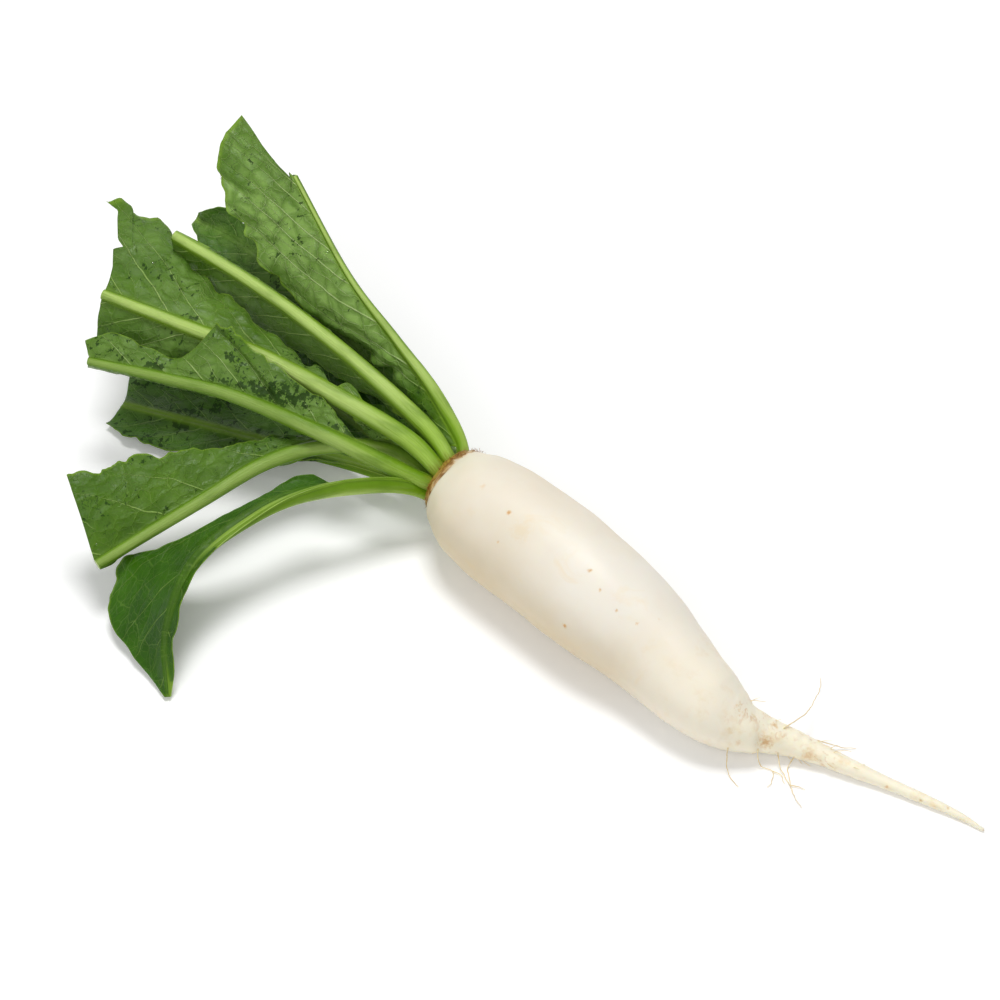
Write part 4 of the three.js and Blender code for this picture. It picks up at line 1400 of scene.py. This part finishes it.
    def build(self, finishes: list[bpy.types.Material], slot: str) -> bpy.types.Object:
        """Makes the leaf's skin.

        Args:
            finishes: Leaf tissue and cut end.
            slot: Material slot of the record.

        Returns:
            The piece.
        """
        s = np.linspace(0, 1, self.stations())
        middle, along, up, across = self.frames(s)
        right, left = self.half_section(s, Half.RIGHT), self.half_section(s, Half.LEFT)
        girth = look_up(self.girth, s)[:, 0]
        deep = girth * self.stalk_depth
        length = self.length()
        blank = np.zeros((len(s), 1))
        bottom = {"x": blank, "y": -deep[:, None], "z": blank, "stalk": blank + 1, "upper": blank,
                  "painted_side_light": blank, "along": (s * length)[:, None], "out": blank, "count": blank,
                  "reach": blank - 1}
        channel = dict(bottom, y=self.CHANNEL * deep[:, None], upper=blank + 1, painted_side_light=blank + 0.3,
                       stalk=np.minimum(left["stalk"][:, -1:], right["stalk"][:, -1:]))
        left["x"], left["out"] = -left["x"], -left["out"]
        ring = {k: np.hstack([bottom[k], left[k], channel[k], right[k][:, ::-1]]) for k in bottom}
        points = (middle[:, None, :] + across[:, None, :] * ring["x"][..., None]
                  + up[:, None, :] * ring["y"][..., None] + along[:, None, :] * ring["z"][..., None])
        points[..., 2] = np.maximum(points[..., 2], 0.25)
        size = points.shape[1]
        masks = {k: ring[k].ravel() for k in ("stalk", "upper", "painted_side_light")}
        run = np.broadcast_to((s * length)[:, None], ring["x"].shape)
        masks["dew"] = (self.dew * ease(0.55, 0.95, run / length) * (1 - ring["stalk"])).ravel()
        aslant, athwart = 0.5 * run + 0.87 * ring["out"], 0.87 * run - 0.5 * ring["out"]
        # Painted sheen in place of glossy light: a pale cast in clouds, from its starting part of the length on, weaker
        # towards the margin.
        cloud = wander(aslant / 19, athwart / 15, self.seed) + 0.6 * wander(athwart / 8, aslant / 6.5, self.seed)
        edge = (1 - 0.3 * ease(0.6, 1, ring["reach"])) * ease(-0.05, 0.05, run / length - self.painted_sheen_from)
        masks["painted_sheen"] = np.clip(self.painted_sheen * edge * (1 + 0.5 * cloud), 0, 1).ravel()
        masks["vein_width"] = np.full(run.size, self.vein_half / (self.vein_gap * self.slant()))
        masks["flecks"] = np.full(run.size, self.flecks)
        masks["painted_shade"] = np.full(run.size, self.painted_shade)
        charts = {"metric": np.stack([ring["along"], ring["out"]], -1).reshape(-1, 2) * MM,
                  "veins": np.stack([ring["count"], ring["reach"]], -1).reshape(-1, 2)}
        skin = Skin()
        first = skin.add_points((points.reshape(-1, 3) + PLANT_SHIFT) * MM, masks, charts)
        skin.add_rings(first, len(s), size)
        for row, flip, cut in ((0, True, 0), (len(s) - 1, False, 1)):
            self._cap(skin, first + row * size, points[row], flip, cut)
        piece = skin.build(self.node + "_tissue", finishes)
        settle(piece, slot, self.node)
        return piece

    def _cap(self, skin: Skin, start: int, ring: np.ndarray, flip: bool, slot: int) -> None:
        """Closes an end of the leaf: strips over the two half blades and a fan over the stalk.

        Args:
            skin: The surface.
            start: Number of the ring's first point.
            ring: The ring's points.
            flip: True at the crown end, where faces turn the other way.
            slot: Material slot of the cap.
        """
        arc, steps, crest = len(self.STALK_ARC), self.blade_steps, len(self.SHOULDER)
        half = arc + steps * 2 + 1 + crest
        size = 2 * half + 2
        faces: list[tuple[int, ...]] = []

        def left(k: int) -> int:
            """Number of the k-th point of the left half."""
            return start + 1 + k

        def right(k: int) -> int:
            """Number of the k-th point of the right half."""
            return start + size - 1 - k

        for at, turned in ((left, False), (right, True)):
            for k in range(steps - 1):
                low, high = arc + k, arc + 2 * steps - k
                quad = (at(low), at(low + 1), at(high - 1), at(high))
                faces.append(quad[::-1] if turned else quad)
            tip = arc + steps
            edge = (at(tip - 1), at(tip), at(tip + 1))
            faces.append(edge[::-1] if turned else edge)
        centre = (ring[0] + ring[half + 1]) / 2
        masks = {"upper": np.full(1, 0.5), "stalk": np.ones(1)}
        masks |= {k: np.zeros(1) for k in ("painted_side_light", "painted_sheen", "dew", "flecks", "painted_shade", "vein_width")}
        charts = {"metric": np.zeros((1, 2)), "veins": np.zeros((1, 2))}
        middle = skin.add_points(((centre + PLANT_SHIFT) * MM)[None, :], masks, charts)
        rim = [start] + [left(k) for k in range(arc + 1)] + [left(k) for k in range(arc + 2 * steps, half)]
        rim += [left(half)] + [right(k) for k in range(half - 1, arc + 2 * steps - 1, -1)]
        rim += [right(k) for k in range(arc, -1, -1)]
        for a, b in zip(rim, rim[1:] + rim[:1]):
            faces.append((a, b, middle))
        skin.add_faces([f[::-1] for f in faces] if flip else faces, slot)


LEAVES = (
    Leaf(
        "leaf_top", seed=3, frill=0.9, painted_sheen=1.15, painted_sheen_from=0.3, vein_half=0.5, dew=1.0, flecks=0.52, painted_shade=0.15, blade_steps=38, ripple=1.6,
        camber=0.10, quilt=1.7, pucker=0.26, vein_gap=23.0, vein_lean=2.3, teeth=0.08, cut_half=1,
        cut=((0, 0), (0.12, -1), (0.2, -9), (0.32, -9), (0.5, -11), (0.7, -10), (0.82, -8), (0.9, 0), (1, 5)),
        rib=((-2, 8, 39), (-14, 17, 43), (-41, 24, 56), (-73, 27, 70), (-113, 31, 87), (-166, 43, 116)),
        face=((0, -0.8, -0.6), (-0.4, 0.4, -0.8), (-0.4, 0.5, -0.75), (-0.4, 0.5, -0.75)),
        girth=((0, 3.4), (0.05, 3.4), (0.12, 3.8), (0.4, 2.6), (0.6, 1.7), (0.8, 1.3), (1, 1.0)),
        right=((0.05, 0, 35, 0), (0.085, 9, 40, 0), (0.13, 14, 42, 1), (0.165, 9, 42, 1), (0.2, 14, 42, 2),
               (0.25, 15, 42, 4), (0.3, 17, 42, 8), (0.34, 12, 38, 8),
               (0.38, 19, 34, 8), (0.42, 17, 32, 9), (0.52, 25, 20, 11), (0.62, 29, 9, 16),
               (0.72, 35, 2, 20), (0.8, 39, -3, 28), (0.88, 37, -8, 34), (0.94, 32, -12, 37),
               (0.975, 21, -16, 38), (1, 9.5, -20, 38)),
        left=((0.15, 0, 110, 0), (0.4, 9, 115, 4), (0.65, 19, 118, 8), (0.85, 20, 115, 8), (1, 8, 100, 4)),
    ),
    Leaf(
        "leaf_upper", seed=5, painted_sheen=0.3, flecks=0.3, painted_shade=0.0, blade_steps=26, ripple=1.5,
        rib=((-2, 1, 42), (-24, 6, 48), (-57, 6, 57), (-99, 3, 68), (-150, -4, 79), (-202, -14, 87)),
        face=((0, 0, -1), (-0.3, 0.5, -0.8), (-0.3, 0.5, -0.8)),
        girth=((0, 4.2), (0.05, 4.2), (0.12, 4.8), (0.5, 3.8), (1, 3.1)),
        right=((0.1, 0, 50, 0), (0.25, 7, 55, 0), (0.45, 18, 52, 3), (0.6, 25, 50, 5), (0.74, 22, 50, 4),
               (0.84, 20, 48, 0), (0.93, 17, 46, 0), (1, 12, 46, -2)),
        left=((0.15, 0, 70, 0), (0.35, 11, 78, 3), (0.6, 17, 80, 6), (0.76, 16, 78, 5), (0.88, 6, 70, 0),
              (1, 3, 65, 0)),
    ),
    Leaf(
        "leaf_middle", seed=7, frill=2.4, painted_sheen=0.42, dew=0.25, flecks=0.55, painted_shade=0.05, blade_steps=40, ripple=2.3, wave=21.0,
        vein_gap=24.0, quilt=1.1, teeth=0.07,
        cut=((0, 0), (0.1, -2), (0.26, -4), (0.45, -4), (0.52, -10), (0.58, -6.5), (0.83, -5.5), (0.945, -5.5),
             (0.98, 0), (1, 2)), cut_half=-1,
        rib=((-2, -6, 41), (-30, -7, 50), (-76, -18, 59), (-117, -30, 66), (-160, -46, 70), (-205, -63, 74)),
        face=((0, 0.6, -0.8), (-0.3, 0.5, -0.8), (-0.3, 0.5, -0.8)),
        girth=((0, 4.4), (0.05, 4.6), (0.12, 5.2), (0.5, 4.6), (1, 2.8)),
        right=((0.13, 0, 40, 0), (0.19, 8, 40, 2), (0.24, 10, 36, 3), (0.28, 4, 30, 2), (0.34, 5, 25, 0),
               (0.5, 9, 25, 0), (0.75, 17, 21, -3), (0.9, 25, 16, -3), (1, 22, 16, -3)),
        left=((0.25, 0, 20, 0), (0.285, 7, 20, 3), (0.32, 9, 20, 5), (0.34, 3, 22, 4), (0.36, 3, 24, 4),
              (0.39, 10, 24, 5), (0.425, 11, 28, 3), (0.45, 7, 30, 1), (0.5, 14, 32, 0), (0.62, 22, 34, 3),
              (0.72, 32, 31, 7), (0.82, 44, 28, 14), (0.86, 51.5, 27, 19), (0.905, 61.5, 26, 23),
              (0.955, 58.5, 26, 27), (1, 56, 26, 28)),
    ),
    Leaf(
        "leaf_front", seed=11, frill=0.8, painted_sheen=0.45, dew=0.3, flecks=0.92, painted_shade=0.55, blade_steps=30, ripple=1.2, vein_gap=21.0,
        folds=((93, 2.6, 22),),
        rib=((-2, -10, 35.5), (-24, -21, 42), (-65, -37, 51), (-111, -55, 58), (-149, -75, 60), (-183, -93, 60)),
        face=((0, 1, -0.3), (-0.3, 0.6, -0.7), (-0.3, 0.6, -0.7)),
        girth=((0, 4.0), (0.05, 4.0), (0.12, 4.5), (0.5, 3.8), (1, 2.1)),
        right=((0.25, 0, 75, 0), (0.5, 9, 75, 2), (0.75, 14, 75, 4), (1, 12, 75, 4)),
        left=((0.18, 0, 36, 4), (0.26, 7, 36, 4), (0.34, 14, 23, 2), (0.46, 20, 12, 0), (0.57, 26, 5, 2),
              (0.68, 35, 4, 0), (0.74, 19, 9, -2), (0.8, 12, 17, -4), (0.88, 15, 13, -3), (0.94, 18, 7, 2),
              (1, 10, -3, 4)),
    ),
    Leaf(
        "leaf_low", seed=13, frill=0.9, painted_sheen=0.25, dew=0.2, flecks=0.45, painted_shade=0.5, blade_steps=30, vein_gap=31.0, vein_lean=0.8,
        rib=((-2, -5, 31), (-36, -10, 37), (-61, -31, 39), (-76, -62, 39), (-82, -104, 36), (-92, -166, 28)),
        face=((0, 1, 0.2), (-0.4, 0.6, -0.6), (-0.5, 0.3, -0.7), (-0.5, 0.3, -0.7)),
        girth=((0, 3.2), (0.06, 3.2), (0.14, 3.8), (0.5, 3.9), (1, 2.8)),
        right=((0.3, 0, 110, 0), (0.6, 12, 110, 2), (0.8, 14, 112, 0), (0.93, 7, 115, -4), (1, 4, 115, -6)),
        left=((0.25, 0, 35, 0), (0.36, 5, 35, -4), (0.46, 12, 20, -5), (0.56, 15, 14, -8), (0.7, 28, 9, -7),
              (0.82, 38, 8, -7), (0.92, 41, 5, -11), (1, 45, 4, -12)),
    ),
    Leaf(
        "leaf_drooping", seed=17, flecks=0.1, painted_shade=0.0, blade_steps=34, ripple=1.4, rib_shows=0.12, vein_gap=29.0,
        vein_lean=1.1, teeth=0.04,
        rib=((-2, -9, 26), (-20, -27, 37.5), (-40, -70, 47), (-48, -104, 46), (-49, -138, 39), (-37, -167, 22),
             (-18, -184, 1.5)),
        face=((0, 0.9, 0.4), (-0.6, 0.4, 0.5), (-0.1, 0, 1), (0.35, -0.5, 0.8), (0.5, -0.6, 0.6)),
        girth=((0, 3.8), (0.05, 4.2), (0.12, 5.3), (0.3, 5.1), (0.5, 4.1), (0.8, 1.9), (1, 0.9)),
        right=((0.22, 0, 30, 0), (0.35, 11, 30, -4), (0.45, 10, 0, -6), (0.52, 12, -12, -6),
               (0.6, 17, -28, -3), (0.67, 30, -36, -3), (0.75, 47, -31, -10), (0.83, 44, -32, -15),
               (0.91, 38, -31, -20), (0.96, 22, -32, -14), (1, 2, -30, 0)),
        left=((0.3, 0, 55, 0), (0.4, 4, 55, 0), (0.6, 5, 50, 0), (0.78, 8, 45, 0), (0.9, 6, 40, 0),
              (1, 1, 40, 0)),
    ),
    Leaf(
        "leaf_back", seed=19, painted_sheen=1.0, blade_steps=20, rib_shows=0.15,
        rib=((-2, 3.4, 35.4), (-28, 9, 38), (-62, 16, 42), (-104, 22, 48), (-155, 27, 53), (-196, 27, 58),
             (-230, 23, 58)),
        face=((0, -0.8, 0), (0, -0.4, 0.9), (0.3, -0.4, 0.8), (0.35, -0.45, 0.8)),
        girth=((0, 2.8), (0.06, 2.8), (0.14, 3.4), (0.5, 3.2), (1, 2.2)),
        right=((0.2, 0, 15, 0), (0.42, 16, 15, 2), (0.66, 24, 12, 4), (0.85, 20, 25, 2), (0.95, 12, 45, 0),
               (1, 4, 60, 0)),
        left=((0.25, 0, 10, 0), (0.42, 14, 10, 2), (0.66, 24, 5, 4), (0.82, 24, 10, 4), (0.93, 14, 30, 0),
              (1, 4, 45, 0)),
    ),
    Leaf(
        "leaf_under_front", seed=23, painted_sheen=0.5, flecks=0.85, painted_shade=0.3, blade_steps=24, quilt=1.2, pucker=0.4,
        vein_gap=21.0,
        rib=((-2, -3, 22), (-26, -8, 19), (-66, -17, 12), (-110, -33, 6), (-146, -48, 4), (-192, -69, 3)),
        face=((0, 0.3, 1), (0.1, 0.1, 1), (0.1, 0.1, 1)),
        girth=((0, 3.4), (0.05, 3.4), (0.12, 4), (0.5, 3.6), (1, 2.5)),
        right=((0.2, 0, 10, 0), (0.45, 14, 8, 3), (0.7, 24, 4, 6), (1, 26, 0, 8)),
        left=((0.25, 0, 10, 0), (0.45, 12, 8, 3), (0.7, 22, 2, 6), (0.9, 23, 0, 4), (1, 17, -2, 2)),
    ),
    Leaf(
        "leaf_under_middle", seed=29, blade_steps=16,
        rib=((-2, 5, 23), (-26, 7, 19), (-70, 8, 11), (-120, 11, 5), (-162, 13, 4), (-206, 14, 3)),
        face=((0, -0.5, 0.9), (0.1, 0, 1), (0.1, 0, 1)),
        girth=((0, 3.4), (0.05, 3.4), (0.12, 4), (0.5, 3.5), (1, 2.4)),
        right=((0.14, 0, 10, 0), (0.24, 13, 6, 1), (0.34, 23, 4, 2), (0.6, 27, 2, 6), (0.8, 24, 0, 8),
               (1, 17, 0, 8)),
        left=((0.16, 0, 10, 0), (0.3, 11, 8, 2), (0.5, 16, 8, 3), (0.75, 20, 5, 6), (1, 22, 0, 8)),
    ),
    Leaf(
        "leaf_under_back", seed=31, blade_steps=16,
        rib=((-2, 10, 30), (-20, 18, 25), (-60, 31, 16), (-105, 44, 8), (-140, 54, 4.5), (-175, 62, 3)),
        face=((0, -1, 0.2), (0.1, -0.1, 1), (0.1, 0, 1)),
        girth=((0, 3.4), (0.05, 3.4), (0.12, 4), (0.5, 3.4), (1, 2.4)),
        right=((0.3, 0, 10, 0), (0.5, 10, 6, 3), (0.75, 17, 2, 6), (1, 18, -2, 8)),
        left=((0.25, 0, 20, 0), (0.5, 12, 20, 3), (0.75, 18, 12, 6), (1, 18, 8, 8)),
    ),
    Leaf(
        "leaf_inner_back", seed=37, blade_steps=16,
        rib=((-2, 3.4, 28.6), (-24, 12, 30), (-70, 26, 34), (-120, 38, 36), (-180, 47, 38)),
        face=((0, -0.7, 0.7), (0.1, -0.1, 1), (0.1, -0.1, 1)),
        girth=((0, 2.8), (0.06, 2.8), (0.14, 3.2), (0.5, 3), (1, 2.1)),
        right=((0.25, 0, 15, 0), (0.5, 12, 12, 2), (0.75, 18, 8, 4), (1, 16, 6, 6)),
        left=((0.25, 0, 15, 0), (0.5, 14, 10, 2), (0.75, 22, 6, 4), (1, 22, 4, 6)),
    ),
    Leaf(
        "heart_leaf_long", seed=41, blade_steps=12, young=True, step=0.8, vein_gap=7.0, quilt=0.4, ripple=1.6,
        wave=12.0,
        rib=((-3, -1, 30), (-22, -1, 30), (-48, 2, 29), (-78, 6, 27)),
        face=((0, 0.3, 0.9), (0, 0.2, 1)),
        girth=((0, 1.8), (0.3, 2), (1, 1.1)),
        right=((0.2, 0, 30, 0), (0.5, 6, 30, 1), (0.85, 10, 26, 3), (1, 2, 20, 3)),
        left=((0.2, 0, 30, 0), (0.5, 6, 30, 1), (0.85, 10, 26, 3), (1, 2, 20, 3)),
    ),
    Leaf(
        "heart_leaf_short", seed=43, blade_steps=12, young=True, step=0.8, vein_gap=6.0, quilt=0.4, ripple=1.4,
        wave=10.0,
        rib=((-3, 0, 33.5), (-18, 1, 35), (-34, 2, 36), (-52, 4, 36)),
        face=((0, -0.3, 1), (0, -0.2, 1)),
        girth=((0, 1.6), (0.3, 1.7), (1, 0.9)),
        right=((0.2, 0, 35, 0), (0.5, 4, 35, 1), (0.85, 7, 30, 2), (1, 2, 25, 2)),
        left=((0.2, 0, 35, 0), (0.5, 4, 35, 1), (0.85, 7, 30, 2), (1, 2, 25, 2)),
    ),
)


# ---------------------------------------------------------------------------------------------------------
# Studio
# ---------------------------------------------------------------------------------------------------------

@dataclass
class Studio:
    """A pale floor, soft lamps and the camera."""

    azimuth: float = 45.0
    elevation: float = 47.0
    lens: float = 100.0
    sensor: float = 36.0
    distance: float = 1.44725
    target: tuple[float, float, float] = (-0.0139, 0.0634, 0.0276)
    floor_size: float = 12.0
    floor_drop: float = 0.0003
    sky: float = 0.32
    floor_lift: float = 0.11      # light of its own that the floor shows the camera
    floor_near: float = 0.5       # distance from the middle at which that light starts to grow
    floor_far: float = 1.4

    def build(self) -> None:
        """Makes everything."""
        self._camera()
        self._floor()
        self._world()
        self._lamp("key_lamp", (-0.45, 0.42, 2.2), 0.8, 31.0)
        self._lamp("fill_lamp", (0.5, -1.3, 1.1), 1.4, 10.0)

    def _camera(self) -> None:
        """The camera, looking down on the radish."""
        a, e = math.radians(self.azimuth), math.radians(self.elevation)
        back = Vector((math.sin(a) * math.cos(e), -math.cos(a) * math.cos(e), math.sin(e)))
        data = bpy.data.cameras.new("camera")
        data.lens, data.sensor_width = self.lens, self.sensor
        camera = bpy.data.objects.new("camera", data)
        camera.location = Vector(self.target) + back * self.distance
        camera.rotation_mode = "QUATERNION"
        camera.rotation_quaternion = (-back).to_track_quat("-Z", "Y")
        data.clip_start, data.clip_end = 0.05, 50
        bpy.context.scene.collection.objects.link(camera)
        bpy.context.scene.camera = camera

    def _floor(self) -> None:
        """The floor, a hair below the belly."""
        h, z = self.floor_size / 2, -self.floor_drop
        mesh = bpy.data.meshes.new("floor")
        mesh.from_pydata([(-h, -h, z), (h, -h, z), (h, h, z), (-h, h, z)], [], [(0, 1, 2, 3)])
        material, b, shader = new_material("Floor Paper")
        place = b.add("ShaderNodeTexCoord").outputs["Object"]
        paper = b.mix(b.noise(place, 3.0, 2.0), (0.96, 0.96, 0.96, 1), (0.98, 0.98, 0.98, 1))
        b.feed(shader.inputs["Base Color"], paper)
        rays = b.add("ShaderNodeLightPath").outputs
        seen = b.math("MAXIMUM", rays["Is Camera Ray"], rays["Is Glossy Ray"])
        seen = b.math("MAXIMUM", seen, rays["Is Transmission Ray"])
        away = b.add("ShaderNodeVectorMath", {0: place}, operation="LENGTH").outputs["Value"]
        b.feed(shader.inputs["Emission Strength"],
               b.math("MULTIPLY", seen, b.step(away, self.floor_near, self.floor_far, self.floor_lift, 1.0)))
        shader.inputs["Emission Color"].default_value = (1, 1, 1, 1)
        shader.inputs["Roughness"].default_value = 0.9
        shader.inputs["Specular IOR Level"].default_value = 0.0
        mesh.materials.append(material)
        floor = bpy.data.objects.new("floor", mesh)
        bpy.context.scene.collection.objects.link(floor)

    def _world(self) -> None:
        """Even pale light from all round, white where the camera sees it."""
        world = bpy.data.worlds.new("studio")
        world.use_nodes = True
        b = Board(world.node_tree)
        background = next(n for n in world.node_tree.nodes if n.type == "BACKGROUND")
        rays = b.add("ShaderNodeLightPath").outputs
        seen = b.math("MAXIMUM", rays["Is Camera Ray"], rays["Is Glossy Ray"])
        seen = b.math("MAXIMUM", seen, rays["Is Transmission Ray"])
        b.feed(background.inputs["Strength"], b.math("MULTIPLY_ADD", seen, 1 - self.sky, self.sky))
        background.inputs["Color"].default_value = (1, 1, 1, 1)
        bpy.context.scene.world = world

    def _lamp(self, name: str, place: tuple[float, float, float], size: float, power: float) -> None:
        """One square soft lamp aimed at the radish.

        Args:
            name: The lamp's name.
            place: Where it hangs, metres.
            size: Side of its square, metres.
            power: Watts.
        """
        data = bpy.data.lights.new(name, "AREA")
        data.energy, data.size = power, size
        lamp = bpy.data.objects.new(name, data)
        lamp.location = place
        aim = Vector(self.target) - Vector(place)
        lamp.rotation_mode = "QUATERNION"
        lamp.rotation_quaternion = aim.to_track_quat("-Z", "Y")
        bpy.context.scene.collection.objects.link(lamp)


def main() -> None:
    """Builds the studio and the radish, piece by piece."""
    logging.basicConfig(level=logging.INFO, format="%(name)s: %(message)s")
    bpy.context.scene.view_settings.view_transform = "Standard"
    Studio().build()
    effects, growth = Effects(), Growth()
    root, skin = Taproot(), RootFinish().material(effects)
    root.build(skin)
    hair = StrandFinish("Hair Root", light=linear(246, 234, 200), dark=linear(222, 194, 140)).material(effects)
    Rootlets().build(root, growth, hair)
    fibre = StrandFinish("Collar Fibre", light=linear(176, 128, 52), dark=linear(104, 62, 14)).material(effects)
    CrownFringe().build(growth, fibre)
    green = LeafFinish("Leaf Green").material(effects)
    young = LeafFinish("Young Leaf Green", upper=linear(110, 152, 52), upper_deep=linear(78, 124, 34),
                       lower=linear(140, 176, 84), lower_deep=linear(104, 148, 56), wet=0.3).material(effects)
    cut = CutFinish().material(effects)
    dewy = []
    for leaf in LEAVES:
        piece = leaf.build([young if leaf.young else green, cut], "young_green" if leaf.young else "leaf_green")
        if leaf.dew:
            dewy.append(piece)
    Dew().build(dewy, growth, WaterFinish().material())


if __name__ == "__main__":
    main()
